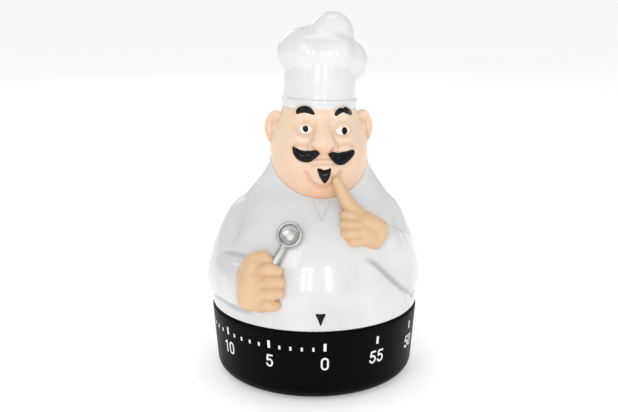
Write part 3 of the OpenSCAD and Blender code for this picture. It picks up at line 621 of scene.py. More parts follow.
def rod(knots, count=24, sides=24, wide=1.0, up=(0, 0, 1)):
    """Round rod along a curve through knots of place and radius, with half-ball ends."""
    line = smooth_path(knots, count)
    centre, radius = line[:, :3], line[:, 3]
    along = unit(np.gradient(centre, axis=0))
    turn = np.linspace(np.pi / 2 * 0.94, 0, 7)[:-1]
    first = centre[0] - along[0] * (radius[0] * np.sin(turn))[:, None]
    last = centre[-1] + along[-1] * (radius[-1] * np.sin(turn[::-1]))[:, None]
    centre = np.vstack([first, centre, last])
    radius = np.concatenate([radius[0] * np.cos(turn), radius, radius[-1] * np.cos(turn[::-1])])
    along = np.vstack([np.repeat(along[:1], len(turn), 0), along, np.repeat(along[-1:], len(turn), 0)])
    side = unit(np.cross(along, np.array(up, float)))
    over = np.cross(side, along)
    a = np.linspace(0, 2 * np.pi, sides, endpoint=False)[:, None]
    ring = wide * np.cos(a) * side[:, None] + np.sin(a) * over[:, None]
    return closed(centre[:, None] + radius[:, None, None] * ring)


def turned(points, place, direction):
    """Points carried from the origin and +Z to a place and a direction."""
    z = unit(np.array(direction, float))
    x = unit(np.cross([0, 0, 1.0], z))
    return points @ np.stack([x, np.cross(z, x), z]) + place


def object_from(name, solids, paint, sharp=None, fold=None):
    """One mesh object from closed solids, smooth shaded, with its material and its fold attribute of painted
    shade.
    """
    points, faces, start = [], [], 0
    for p, quad, tri in solids:
        points.append(p)
        faces += (quad + start).tolist() + (tri + start).tolist()
        start += len(p)
    points = np.vstack(points)
    mesh = bpy.data.meshes.new(name)
    mesh.from_pydata((points * MM).tolist(), [], faces)
    mesh.shade_smooth()
    if sharp:
        mesh.set_sharp_from_angle(angle=math.radians(sharp))
    obj = bpy.data.objects.new(name, mesh)
    bpy.context.scene.collection.objects.link(obj)
    mesh.materials.append(paint.material)
    if fold is not None:
        add_fold(obj, fold)
    return obj


def add_fold(obj, rule):
    """Writes the fold attribute, the share of painted shade, from a rule on points in millimetres."""
    mesh = obj.data
    places = np.zeros(len(mesh.vertices) * 3)
    mesh.vertices.foreach_get("co", places)
    values = np.clip(rule(places.reshape(-1, 3) / MM), 0, 1).astype(np.float32)
    layer = mesh.attributes.new("fold", "FLOAT", "POINT")
    layer.data.foreach_set("value", values)


def fuse(obj, voxel, passes, fold=None):
    """Joins overlapping solids into one skin of even cells and softens it."""
    join = obj.modifiers.new("Fuse", "REMESH")
    join.mode, join.voxel_size, join.use_smooth_shade = "VOXEL", voxel * MM, True
    soften = obj.modifiers.new("Soften", "SMOOTH")
    soften.factor, soften.iterations = 0.5, passes
    materials = list(obj.data.materials)
    made = bpy.data.meshes.new_from_object(obj.evaluated_get(bpy.context.evaluated_depsgraph_get()))
    obj.modifiers.clear()
    obj.data = made
    made.materials.clear()
    for material in materials:
        made.materials.append(material)
    made.shade_smooth()
    if fold is not None:
        add_fold(obj, fold)
    return obj


def settle(obj, body, slot, *nodes):
    """The piece rides on its body and stands for its nodes, which it hides; the slot is not used."""
    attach(obj, body)
    if nodes:
        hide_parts(*nodes)
    return obj


def patch_grid(outline, columns, rows):
    """Grid over an outline: columns spaced as a cosine across it, rows from its lower to its upper edge."""
    loop = smooth_loop(outline, 480)
    loop = np.roll(loop, -int(loop[:, 0].argmin()), axis=0)
    far = int(loop[:, 0].argmax())
    one, two = loop[:far + 1], np.vstack([loop[far:], loop[:1]])[::-1]
    low, high = (one, two) if one[:, 1].mean() < two[:, 1].mean() else (two, one)
    w = np.sin(np.linspace(-1, 1, columns) * np.pi / 2 * 0.985)
    x = (low[0, 0] + low[-1, 0]) / 2 + w * (low[-1, 0] - low[0, 0]) / 2
    bottom = np.interp(x, np.maximum.accumulate(low[:, 0]), low[:, 1])
    top = np.interp(x, np.maximum.accumulate(high[:, 0]), high[:, 1])
    v = np.sin(np.linspace(-1, 1, rows) * np.pi / 2)[:, None]
    return x + 0 * v, (bottom + top) / 2 + v * (top - bottom) / 2, w + 0 * v, v + 0 * x


def skin_patch(outline, height, columns=56, rows=22, sink=0.35, square=2.4, power=0.55):
    """Raised patch on the skin, domed by (1 - |v|^square)^power across and (1 - w^6)^0.5 along."""
    x, z, w, v = patch_grid(outline, columns, rows)
    x, z = x + HEAD_AT[0], z + HEAD_AT[2]
    skin = np.stack([x, head_front(x, z), z], -1)
    out = unit(skin - HEAD_MID)
    rise = height * (1 - np.abs(v) ** square) ** power * (1 - w**6) ** 0.5
    return walled(skin + out * rise[..., None], skin - out * sink)


def ellipse(x, z, rx, rz, count=16):
    """Outline of an ellipse across the face."""
    a = np.linspace(0, 2 * np.pi, count, endpoint=False)
    return np.stack([x + rx * np.cos(a), z + rz * np.sin(a)], -1)


# ---------- outlines of the face's raised paint, across and up from the head's foot ----------
BROWS = [
    [(-8.1, 20.1), (-7.8, 21.0), (-6.8, 21.8), (-5.4, 22.1), (-4.0, 21.8), (-3.1, 20.9),
     (-2.5, 19.9), (-3.0, 19.6), (-4.1, 19.9), (-5.5, 20.2), (-6.9, 20.0), (-7.8, 19.7)],
    [(3.5, 19.6), (3.9, 20.6), (5.0, 21.4), (6.0, 21.3), (6.9, 21.6), (8.6, 20.5),
     (9.4, 19.1), (8.9, 18.8), (7.4, 19.6), (6.2, 20.1), (5.0, 19.6), (4.1, 19.1)],
]
MOUSTACHE = [
    [(-9.2, 10.1), (-8.4, 9.9), (-7.1, 9.3), (-5.7, 9.0), (-4.2, 9.2), (-2.7, 9.5), (-1.9, 9.1), (-1.4, 8.3),
     (-2.1, 7.3), (-3.1, 6.6), (-4.0, 5.9), (-5.3, 5.6), (-6.7, 5.8), (-7.8, 6.4), (-8.7, 7.5), (-9.1, 8.6)],
    [(1.2, 8.0), (1.7, 8.7), (3.0, 8.7), (4.5, 8.3), (5.5, 8.5), (6.9, 8.6), (8.1, 8.9), (9.2, 8.9),
     (9.4, 8.1), (9.0, 7.3), (8.1, 6.3), (7.1, 5.4), (5.9, 4.7), (4.6, 4.7), (3.5, 5.1), (2.4, 6.2),
     (1.7, 7.1)],
]
GOATEE = [(-2.2, 3.9), (-1.4, 4.1), (-0.7, 3.7), (0, 3.6), (0.9, 3.8), (1.9, 4.0), (1.8, 3.1), (1.5, 1.7),
          (0.9, 0.4), (0, -0.5), (-0.8, 0.3), (-1.5, 1.5), (-2.0, 2.8)]
EYES = [ellipse(-5.2, 15.1, 1.9, 1.15), ellipse(6.2, 14.55, 2.2, 1.15)]
PUPILS = [ellipse(-5.1, 15.1, 0.9, 0.95), ellipse(6.5, 14.4, 0.95, 1.0)]


# ---------- dial base ----------
RIM_ROLL = 0.8
FOOT_ROLL = 4.5
FOOT_TAPER = 1.3
FOOT_LAP = 1.2
WALL = 2.0


def base_profile():
    """Outside of the base from its lower opening up to the rim, then back down inside its wall."""
    low_r = BASE_R - FOOT_TAPER
    foot = float(BASE_LOW[2])
    opening = float(PAD_HIGH[0]) - FOOT_LAP
    outside = (corner((low_r - FOOT_ROLL, foot + FOOT_ROLL), FOOT_ROLL, -90, 0, 14)
               + corner((BASE_R - RIM_ROLL, BASE_TOP - RIM_ROLL), RIM_ROLL, 0, 90, 10))
    inner = BASE_R - WALL
    inside = [(inner + 0.3, BASE_TOP), (inner, BASE_TOP - 0.3), (inner - 0.6, foot + 5.0)]
    inside += corner((low_r - FOOT_ROLL - 0.4, foot + FOOT_ROLL + 0.1), 2.6, 0, -90, 8)
    return [(opening, foot)] + outside + inside + [(opening, foot + WALL)]


def thicken(profile):
    """Profile with each straight run cut into steps, so that its faces stay even."""
    p = np.asarray(profile, float)
    run = [p[:1]]
    for a, b in zip(p[:-1], p[1:]):
        n = max(1, int(np.linalg.norm(b - a) / 2))
        run.append(a + (b - a) * (np.arange(1, n + 1) / n)[:, None])
    return np.vstack(run)


def ring_solid(profile, count=288):
    """Closed ring of a profile turned about +Z, its last point joined to its first."""
    rings = lathe(thicken(list(profile) + [profile[0]])[:-1], count)
    rows = rings.shape[0]
    return outwards(rings.reshape(-1, 3), quads(rows, count, wrap_rows=True), NO_TRI)


DIGIT_TALL = 4.1
DIGIT_WIDE = 2.45
DIGIT_GAP = 0.45
STROKE = 0.56
NUMERAL_Z = 12.85
TICK_TOP = 19.5
TICK_TALL = 2.45
MINOR_TALL = 1.2
INK = 0.06


def wall_radius(z):
    """Outer radius of the base's wall at a height: it widens evenly from corner to rim."""
    low = float(BASE_LOW[2]) + FOOT_ROLL
    share = np.clip((z - low) / (BASE_TOP - RIM_ROLL - low), 0, 1)
    return BASE_R - FOOT_TAPER * (1 - share)


def arc(cx, cy, rx, ry, start, end, count=14):
    """Points of an ellipse's arc within a digit, its angles in degrees."""
    a = np.radians(np.linspace(start, end, count))
    return np.stack([cx + rx * np.cos(a), cy + ry * np.sin(a)], -1)


def digit_line(digit):
    """Middle lines of a digit's strokes in a unit cell, one wide and two tall."""
    return {
        "0": [np.vstack([arc(0.5, 1.45, 0.5, 0.55, 0, 180), arc(0.5, 0.55, 0.5, 0.55, 180, 360),
                         [[1, 1.45]]])],
        "1": [np.array([[0.12, 1.62], [0.34, 1.7], [0.58, 2.0], [0.58, 0]])],
        "2": [np.vstack([arc(0.5, 1.48, 0.47, 0.52, 165, -32), [[0.1, 0.1], [0.02, 0.0], [1, 0]]])],
        "3": [np.vstack([arc(0.47, 1.5, 0.44, 0.5, 155, -72), [[0.42, 1.06]]]),
              np.vstack([[[0.42, 1.06]], arc(0.46, 0.54, 0.52, 0.54, 78, -155)])],
        "4": [np.array([[0.76, 0], [0.76, 2.0], [0, 0.62], [1.02, 0.62]])],
        "5": [np.vstack([[[0.94, 2.0], [0.2, 2.0], [0.08, 1.08]],
                         arc(0.47, 0.62, 0.51, 0.62, 122, -155, 20)])],
    }[digit]


def stroke_solid(line, bearing, left, base_z):
    """A stroke wrapped on the wall: its middle line widened both ways, a thin raised print."""
    p = np.asarray(line, float) * [DIGIT_WIDE - STROKE, (DIGIT_TALL - STROKE) / 2] + [left, base_z]
    keep = np.ones(len(p), bool)
    keep[1:] = np.linalg.norm(np.diff(p, axis=0), axis=1) > 1e-4
    p, tangent = p[keep], unit(np.gradient(p[keep], axis=0))
    p = np.vstack([p[:1] - tangent[:1] * STROKE / 2, p, p[-1:] + tangent[-1:] * STROKE / 2])
    tangent = np.vstack([tangent[:1], tangent, tangent[-1:]])
    side = np.stack([-tangent[:, 1], tangent[:, 0]], -1) * STROKE / 2
    return wrapped(np.stack([p + side, p, p - side]), bearing)


def wrapped(flat, bearing):
    """A flat grid, in millimetres across and up, laid round the wall at a bearing as a thin print."""
    z = flat[..., 1]
    r = wall_radius(z)
    a = np.radians(bearing) + flat[..., 0] / BASE_R
    skin, out = polar(r, a, z), polar(1, a, 0)
    return walled(skin + out * INK, skin - out * 0.12)


def bar(wide, low, high, bearing):
    """Upright mark of the dial."""
    x, z = np.meshgrid(np.linspace(-wide / 2, wide / 2, 3), np.linspace(low, high, 5))
    return wrapped(np.stack([x, z], -1), bearing)


def dial_marks(tick_wide):
    """Marks and numerals of an hour: every five minutes, and each minute of the first quarter."""
    solids = []
    for minute in range(60):
        bearing = -90 - 6 * minute
        if minute % 5 == 0:
            solids.append(bar(tick_wide, TICK_TOP - TICK_TALL, TICK_TOP, bearing))
            text = str(minute)
            pitch, foot = DIGIT_WIDE + DIGIT_GAP, NUMERAL_Z - (DIGIT_TALL - STROKE) / 2
            for place, digit in enumerate(text):
                left = (place - (len(text) - 1) / 2) * pitch - (DIGIT_WIDE - STROKE) / 2
                for line in digit_line(digit):
                    solids.append(stroke_solid(dense(line), bearing, left, foot))
        elif minute < 15:
            low = TICK_TOP - TICK_TALL
            solids.append(bar(tick_wide * 0.78, low, low + MINOR_TALL, bearing))
    return solids


def dense(line):
    """A digit's line with each corner softened by two close points."""
    p = np.asarray(line, float)
    out = [p[:1]]
    for a, b in zip(p[:-1], p[1:]):
        gap = np.linalg.norm(b - a)
        cuts = [1.0] if gap < 0.25 else [0.06 / gap, 1 - 0.06 / gap, 1.0]
        out.append(a + (b - a) * np.array(cuts)[:, None])
    return np.vstack(out)


# ---------- shirt ----------
SHIRT_COLS = 240
SHIRT_ROWS = 132


def shirt_half(start, end):
    """Half of the shirt between two bearings as a wall, its outer face the shirt's radius."""
    a = np.radians(np.linspace(start, end, SHIRT_COLS))
    edge_r, edge_z = collar_edge(a)
    t = np.linspace(0, 1, SHIRT_ROWS)[:, None]
    angle = a + 0 * t
    z = RIM_Z + t * (edge_z - RIM_Z)
    r = shirt_radius(angle, z)
    seam = np.minimum(np.abs(angle - a[0]), np.abs(angle - a[-1])) * BELLY_R
    hem = np.clip(1 - (z - RIM_Z) / 0.7, 0, 1)
    outer = r - 0.28 * np.exp(-((seam / 0.22) ** 2)) - 0.35 * (1 - np.sqrt(1 - hem**2))
    inner = np.minimum(outer - SHIRT_WALL * np.clip((1 - t) * 9, 0.15, 1), r - 0.1)
    return walled(polar(outer, angle, z), polar(inner, angle, z))


POINTER = [(-1.45, 28.75), (0, 28.8), (1.45, 28.75), (0.75, 27.0), (0, 25.2), (-0.75, 27.0)]
POINTER_BEARING = -92.3


def shirt_shade(points):
    """Share of crease shadow: how deep the folds cut at each place."""
    a = np.arctan2(points[:, 1], points[:, 0])
    return -shirt_fold(a, points[:, 2]) * 0.8


# ---------- head ----------
def head_solid():
    """Head as a star surface: rows of rays from the crown down to inside the collar."""
    e = np.radians(np.linspace(88, -88, 216))[:, None]
    a = np.linspace(0, 2 * np.pi, 300, endpoint=False)
    ray = polar(np.cos(e), a, np.sin(e))
    return closed(HEAD_MID + ray * head_radius(ray)[..., None])


def face_shade(points):
    """Share of painted shadow on the face: in its creases, in a ring round each eye and at the nostrils."""
    x, z = points[:, 0] - HEAD_AT[0], points[:, 2] - HEAD_AT[2]
    out = np.zeros(len(points))
    for depth, width, line in FACE_CREASES:
        out = out - groove(path_distance(x, z, line), 0.8 * depth / 0.6, width * 1.2)
    for ex, ez in EYE_AT:
        far = np.hypot((x - ex) / 2.7, (z - ez) / 1.9)
        out = out + 0.35 * np.exp(-(((far - 1) / 0.25) ** 2))
    for side in (-1, 1):
        out = out + 0.55 * np.exp(-((np.hypot(x - side * 1.9, z - 9.2) / 0.9) ** 2))
    return np.where(points[:, 1] < FACE_BACK, out, 0)


EAR_WIDE, EAR_TALL = 4.3, 5.6
EAR_OUT, EAR_UP = 13.4, 13.5


def ear_solid(side):
    """Ear as a dish: rim and hollow by two bell curves of the share s of the way out, closed behind."""
    s = np.sin(np.linspace(0.03, 1, 26) * np.pi / 2)[:, None]
    a = np.linspace(0, 2 * np.pi, 72, endpoint=False)
    rim = np.exp(-(((s - 0.84) / 0.13) ** 2)) - 0.8 * np.exp(-(((s - 0.45) / 0.26) ** 2))
    fold = 0.5 * np.exp(-(((s - 0.3) / 0.16) ** 2)) * (1 + np.cos(a - 0.4))
    front = (0.75 * rim + 0.45 * fold) + 0.9 * np.sqrt(1 - s**4)
    back = -1.5 * np.sqrt(1 - s**3) + 0 * a
    wide = EAR_WIDE * (1 + 0.08 * np.sin(a)) * s
    tall = EAR_TALL * (1 - 0.1 * np.cos(2 * a)) * s
    x, y = wide * np.cos(a), tall * np.sin(a)
    dish = np.concatenate([np.stack([x, y, front + 0 * x], -1), np.stack([x, y, back + 0 * x], -1)[::-1]])
    place = HEAD_AT + [side * EAR_OUT, -0.4, EAR_UP]
    z = unit(np.array([side * 0.5, -0.86, 0.05]))
    up = np.array([side * 0.12, 0, 1.0])
    across = unit(np.cross(up, z))
    up = np.cross(z, across)
    points = dish[..., :1] * across + dish[..., 1:2] * up + dish[..., 2:] * z + place
    return closed(points)


def ear_shade(points):
    """Share of warm shadow in the hollow of each ear: a bell curve of the share of the way out."""
    across = np.abs(points[:, 0] - HEAD_AT[0]) - EAR_OUT
    out = np.hypot(across / EAR_WIDE, (points[:, 2] - HEAD_AT[2] - EAR_UP) / EAR_TALL)
    return 0.55 * np.exp(-(((out - 0.5) / 0.2) ** 2)) * (points[:, 1] < 0.4)


# ---------- hat ----------
HAT_TILT, HAT_LEAN = math.radians(1), math.radians(2)
BAND_R, BAND_H, PUFF_H = 11.4, 8.5, 20.9
HAT_AT = np.array([HEAD_X, 0, BRIM_Z])
PUFF_MID = np.array([0, 0, BAND_H + 6])
PUFF_MASSES = [
    np.array([[0, 0, BAND_H + 6.5, 10.8]]),
    np.array([[3.3, 0.4, BAND_H + PUFF_H - 6.6, 6.6]]),
    np.array([[-6.3, -0.8, BAND_H + 8, 7.3]]),
    np.array([[7.8, -0.6, BAND_H + 5.7, 6.8]]),
    np.array([[-4.2, -5.0, BAND_H + 8.4, 6.1]]),
    np.array([[3.6, -5.6, BAND_H + 8.2, 5.9]]),
    np.array([[2.4, 6, BAND_H + 6.4, 7.2], [-4.6, 4.8, BAND_H + 7.4, 6.4]]),
]


def on_hat(p):
    """Points of the hat's own frame carried to its place: a small lean, then a small tilt."""
    x = p[..., 0] * math.cos(HAT_LEAN) + p[..., 2] * math.sin(HAT_LEAN)
    z = p[..., 2] * math.cos(HAT_LEAN) - p[..., 0] * math.sin(HAT_LEAN)
    y = p[..., 1] * math.cos(HAT_TILT) + z * math.sin(HAT_TILT)
    return HAT_AT + np.stack([x, y, z * math.cos(HAT_TILT) - p[..., 1] * math.sin(HAT_TILT)], -1)


def puff_solid():
    """Puff of the hat: a star surface of round masses with soft pleats low down, drawn in to the band."""
    s = np.linspace(0, 1, 150)[:, None]
    e = np.radians(88 - 126 * s)
    a = np.linspace(0, 2 * np.pi, 288, endpoint=False)
    ray = polar(np.cos(e), a, np.sin(e))
    r = soft_max([reach(PUFF_MID + 0 * ray, ray, m) for m in PUFF_MASSES])
    pleat = np.cos(7 * a + 0.8 * np.sin(2 * a)) * np.exp(-(((s - 0.86) / 0.16) ** 2))
    off = (a - 4.35 + np.pi) % (2 * np.pi) - np.pi
    dent = np.exp(-((off / 0.5) ** 2)) * np.exp(-(((s - 0.3) / 0.2) ** 2))
    r = r * (1 + 0.012 * pleat) - 0.35 * dent
    rings = PUFF_MID + ray * r[..., None]
    foot = polar(BAND_R - 2.4, a, BAND_H - 2.5)
    return closed(on_hat(np.concatenate([rings, foot[None]])))


def band_solid():
    """Band of the hat: an upright sleeve with a turned-up cuff, turned about its axis."""
    lip = 0.5
    profile = ([(BAND_R - 1.6, 0.5), (BAND_R - 0.4, 0.0)] + corner((BAND_R + lip - 0.5, 0.55), 0.5, -80, 0, 6)
               + corner((BAND_R + lip - 0.42, 2.6), 0.42, 0, 85, 6)
               + [(BAND_R - 0.02, 3.1), (BAND_R - 0.1, 4.2), (BAND_R - 0.2, BAND_H + 1.5),
                  (BAND_R - 0.45, BAND_H + 5.6), (BAND_R - 2.0, BAND_H + 6.6)])
    points, quad, tri = ring_solid(profile)
    return on_hat(points), quad, tri


# ---------- hands and spoon ----------
LEFT_TUBES = [
    [(-20.4, -24.4, 40.4, 3.8), (-21.2, -25.6, 36.6, 4.5), (-21.6, -25.8, 32.2, 4.3)],
    [(-18.2, -25.6, 41.6, 3.0), (-18.2, -27.4, 37.1, 3.5), (-18.4, -27.6, 31.4, 3.4)],
    [(-21.6, -22.6, 37.5, 4.4), (-20.0, -25.2, 36.5, 4.6)],
    [(-19.0, -26.9, 40.8, 2.0), (-16.1, -29.3, 41.7, 2.05), (-13.9, -29.2, 41.2, 1.85)],
    [(-19.2, -27.9, 37.7, 2.05), (-16.1, -30.4, 38.4, 2.1), (-13.4, -30.3, 38.1, 1.9)],
    [(-19.3, -28.3, 34.5, 2.05), (-16.2, -31.0, 35.1, 2.1), (-13.6, -30.9, 35.0, 1.9)],
    [(-19.6, -28.2, 30.9, 2.0), (-16.9, -30.4, 31.4, 2.0), (-14.6, -30.4, 31.0, 1.8)],
    [(-21.9, -22.4, 41.2, 2.4), (-20.0, -23.9, 43.7, 2.2), (-17.7, -25.9, 44.7, 1.95),
     (-16.3, -27.2, 43.7, 1.7)],
]
RIGHT_TUBES = [
    [(11.6, -20.3, 54.4, 3.1), (14.4, -20.8, 52.6, 3.6), (17.4, -19.8, 50.6, 3.5)],
    [(10.9, -22.3, 51.4, 2.9), (13.4, -22.6, 49.6, 3.5), (15.8, -21.6, 47.9, 3.3)],
    [(13.0, -20.6, 52.0, 3.9), (16.4, -20.3, 49.9, 4.1)],
    [(4.9, -17.6, 65.7, 1.35), (6.4, -18.2, 62.6, 1.7), (8.2, -18.9, 59.2, 2.1), (10.2, -19.9, 56.4, 2.6),
     (12.5, -20.5, 54.0, 3.0)],
    [(12.2, -20.9, 54.4, 2.0), (9.6, -21.8, 55.2, 1.85), (7.4, -21.0, 55.5, 1.6)],
    [(11.8, -22.4, 52.6, 2.0), (9.2, -23.4, 53.0, 1.85), (7.0, -22.6, 53.0, 1.65)],
    [(11.6, -23.6, 50.4, 2.0), (9.1, -24.6, 50.6, 1.85), (7.0, -23.9, 50.5, 1.65)],
    [(12.2, -23.4, 48.6, 2.0), (9.9, -25.0, 48.4, 1.75), (8.2, -24.6, 48.4, 1.5)],
]


def tube_shade(tubes):
    """A rule for painted shade on places near two tubes at once, as where fingers meet."""
    lines = [smooth_path(t, 16) for t in tubes]

    def rule(points):
        near = [(np.linalg.norm(points[:, None] - ln[:, :3], axis=2) - ln[:, 3]).min(1) for ln in lines]
        near = np.sort(np.stack(near), axis=0)
        return 0.8 * np.exp(-((near[1] / 0.55) ** 2)) * (near[0] > -0.8)

    return rule


BOWL_AT = np.array([-9.7, -24.6, 50.9])
BOWL_R = 4.0
BOWL_FACE = np.array([-0.3, -0.9, 0.42])


def spoon_solids():
    """Spoon: a shallow bowl whose rim is rounded, and a handle that runs down into the fist."""
    profile = ([(0.0, -1.35), (1.2, -1.3), (2.4, -0.95), (3.3, -0.3)]
               + corner((BOWL_R - 0.5, 0.45), 0.5, -50, 150, 10)
               + [(3.0, 0.15), (2.4, -0.3), (1.4, -0.62), (0.0, -0.7)])
    p = smooth_path(profile, 60)
    p = np.maximum(p, [0.03, -9])
    points, quad, tri = closed(lathe(p, 72))
    bowl = turned(points * [1, 1, 1.1], BOWL_AT, BOWL_FACE), quad, tri
    toward = unit(np.array([-13.6, -27.0, 44.4]) - BOWL_AT)
    start = BOWL_AT + toward * (BOWL_R - 0.5)
    knots = [(*start, 0.85), (-12.3, -26.3, 46.4, 0.95), (-14.2, -27.3, 43.7, 1.0), (-15.4, -27.8, 41.8, 1.0)]
    return [bowl, rod(knots, 30, 28, wide=1.3, up=BOWL_FACE)]


# ---------- settings a user would change ----------
def colour_setting(name, description, shade):
    """Colour property whose default is a screen colour."""
    return bpy.props.FloatVectorProperty(
        name=name, description=description, subtype="COLOR", size=4, min=0, max=1, default=tone(*shade))


class TimerSizes(bpy.types.PropertyGroup):
    tick_wide: bpy.props.FloatProperty(
        name="Tick width", description="Width of a five-minute mark", default=0.85 * MM,
        min=0.0003, max=0.002, unit="LENGTH", precision=5)
    brow_rise: bpy.props.FloatProperty(
        name="Brow height", description="How far the brows stand out", default=0.7 * MM,
        min=0.0002, max=0.002, unit="LENGTH", precision=5)
    moustache_rise: bpy.props.FloatProperty(
        name="Moustache height", description="How far the moustache stands out", default=1.3 * MM,
        min=0.0002, max=0.003, unit="LENGTH", precision=5)
    lens: bpy.props.FloatProperty(
        name="Lens", description="Focal length of the camera in millimetres", default=52.29, min=20, max=200)


class TimerColours(bpy.types.PropertyGroup):
    shirt: colour_setting("Shirt", "White plastic of the shirt", (222, 222, 222))
    hat: colour_setting("Hat", "White plastic of the hat", (229, 229, 229))
    skin: colour_setting("Skin", "Paint of the face and ears", (237, 211, 187))
    hands: colour_setting("Hands", "Paint of the hands", (221, 186, 147))
    floor: colour_setting("Floor", "Floor and backdrop", (250, 250, 250))


def sizes():
    """The size settings of this scene."""
    return bpy.context.scene.timer_sizes


def colours(name):
    """One of the colour settings of this scene."""
    return tuple(getattr(bpy.context.scene.timer_colours, name))


# ---------- operators ----------
class TIMER_OT_base(bpy.types.Operator):
    """Builds the base's shell and the printed dial on it"""

    bl_idname = "timer.base"
    bl_label = "Dial base"

    def execute(self, context):
        shell = object_from("dial_base", [ring_solid(base_profile())], satin_base(), sharp=50)
        settle(shell, "base", "base_plastic", "base_shell")
        marks = object_from("dial_print", dial_marks(sizes().tick_wide / MM), white_ink(), sharp=40)
        settle(marks, "base", "white_plastic")
        return {"FINISHED"}


class TIMER_OT_pad(bpy.types.Operator):
    """Builds the foam pad under the base"""

    bl_idname = "timer.pad"
    bl_label = "Foam pad"

    def execute(self, context):
        r, low, high = float(PAD_HIGH[0]), float(PAD_LOW[2]), float(PAD_HIGH[2])
        edge = min(0.45, (high - low) / 2 - 0.05)
        profile = ([(0.05, low), (r - edge, low)] + corner((r - edge, low + edge), edge, -80, 0, 6)
                   + corner((r - edge, high - edge), edge, 0, 80, 6) + [(r - edge, high), (0.05, high)])
        pad = object_from("foot_pad", [closed(lathe(thicken(profile), 192))], foam_finish(), sharp=60)
        settle(pad, "base", "foam", "base_pad")
        return {"FINISHED"}


class TIMER_OT_shirt(bpy.types.Operator):
    """Builds both halves of the shirt and the black pointer on its front"""

    bl_idname = "timer.shirt"
    bl_label = "Shirt"

    def execute(self, context):
        # The last tone is the painted shadow in the shirt's creases.
        paint = folded_plastic("shirt_plastic", colours("shirt"), tone(211, 211, 212), tone(168, 168, 171))
        halves = (("shirt_front", "body_front", -179.97, -0.03), ("shirt_back", "body_back", 0.03, 179.97))
        for name, node, start, end in halves:
            half = object_from(name, [shirt_half(start, end)], paint, 60, shirt_shade)
            settle(half, "figure", "white_plastic", node)
        x, z = patch_grid(POINTER, 30, 14)[:2]
        a = math.radians(POINTER_BEARING) + x / BELLY_R
        r = shirt_radius(a, z)
        skin, out = polar(r, a, z), polar(1, a, 0)
        mark = object_from("pointer", [walled(skin + out * 0.07, skin - out * 0.12)],
                           black_gloss("pointer_paint"), sharp=40)
        settle(mark, "figure", "base_plastic")
        return {"FINISHED"}


class TIMER_OT_head(bpy.types.Operator):
    """Builds the head and its two ears"""

    bl_idname = "timer.head"
    bl_label = "Head"

    def execute(self, context):
        paint = skin_finish()
        settle(object_from("face", [head_solid()], paint, fold=face_shade), "figure", "skin_paint", "head")
        ears = object_from("ears", [ear_solid(-1), ear_solid(1)], paint, fold=ear_shade)
        settle(ears, "figure", "skin_paint")
        return {"FINISHED"}


class TIMER_OT_features(bpy.types.Operator):
    """Lays the brows, eyes, moustache and goatee on the face"""

    bl_idname = "timer.features"
    bl_label = "Face details"

    def execute(self, context):
        hair = black_gloss("hair_paint")
        rise, lip = sizes().brow_rise / MM, sizes().moustache_rise / MM
        pieces = (
            ("brows", [skin_patch(p, rise) for p in BROWS], hair, "base_plastic"),
            ("moustache", [skin_patch(p, lip, 80, 30) for p in MOUSTACHE], hair, "base_plastic"),
            ("goatee", [skin_patch(GOATEE, 0.95, 48, 26)], hair, "base_plastic"),
            ("eye_whites", [skin_patch(p, 0.45, square=2, power=0.6) for p in EYES], eye_finish(),
             "white_plastic"),
            ("pupils", [skin_patch(p, 0.62, square=3, power=0.4) for p in PUPILS],
             black_gloss("pupil_paint"), "base_plastic"),
        )
        for name, solids, paint, slot in pieces:
            settle(object_from(name, solids, paint), "figure", slot)
        return {"FINISHED"}


class TIMER_OT_hat(bpy.types.Operator):
    """Builds the hat's band and puff"""

    bl_idname = "timer.hat"
    bl_label = "Hat"

    def execute(self, context):
        paint = gloss_plastic("hat_plastic", colours("hat"), tone(221, 221, 222), rough=0.2)
        settle(object_from("hat_puff", [puff_solid()], paint), "figure", "hat_plastic", "hat")
        settle(object_from("hat_band", [band_solid()], paint, sharp=50), "figure", "hat_plastic")
        return {"FINISHED"}


class TIMER_OT_hands(bpy.types.Operator):
    """Builds both hands, each fused from rounded rods, and the spoon in the left one"""

    bl_idname = "timer.hands"
    bl_label = "Hands and spoon"

    def execute(self, context):
        paint = hand_finish()
        for name, tubes in (("left_fist", LEFT_TUBES), ("right_fist", RIGHT_TUBES)):
            hand = object_from(name, [rod(t) for t in tubes], paint)
            # The fold attribute holds painted shade where the fingers meet.
            fuse(hand, 0.24, 14, tube_shade(tubes[3:]))
            settle(hand, "figure", "hand_paint", name.replace("fist", "hand"))
        spoon = object_from("spoon_silver", spoon_solids(), silver_paint(), sharp=50)
        settle(spoon, "figure", "spoon_paint", "spoon")
        return {"FINISHED"}


class TIMER_OT_inside(bpy.types.Operator):
    """Gives the movement, the bell and the screws their metals and plastics"""

    bl_idname = "timer.inside"
    bl_label = "Movement finishes"

    def execute(self, context):
        paints = {
            "brass": metal("movement_brass", tone(214, 178, 104), tone(186, 146, 78), 0.2, (1, 0.12, 1)),
            "steel": metal("movement_steel", tone(196, 198, 202), tone(158, 160, 166), 0.24, (0.15, 1, 1)),
            "spring_steel": metal("spring_steel", tone(118, 124, 142), tone(84, 86, 100), 0.28, (1, 1, 0.1)),
            "bell_metal": metal("bell_metal", tone(208, 206, 196), tone(176, 172, 160), 0.14, (1, 1, 0.2)),
            "inner_plastic": gloss_plastic(
                "inner_plastic", tone(232, 229, 218), tone(210, 206, 192), 0.34, 0.0),
        }
        slot_of = {part["node"]: part["material_slot"] for part in frame["record"]["subparts"]}
        for name, node in frame["nodes"].items():
            if node.hide_render:
                continue
            node.data.materials.clear()
            node.data.materials.append(paints[slot_of[name]].material)
        return {"FINISHED"}


CAMERA_AZ, CAMERA_EL = math.radians(-5.557), math.radians(13.597)
CAMERA_FAR = 290.0
AIM_Z = 53.568
CAMERA_SHIFT = -0.008529126
WORLD_LIGHT = 0.66


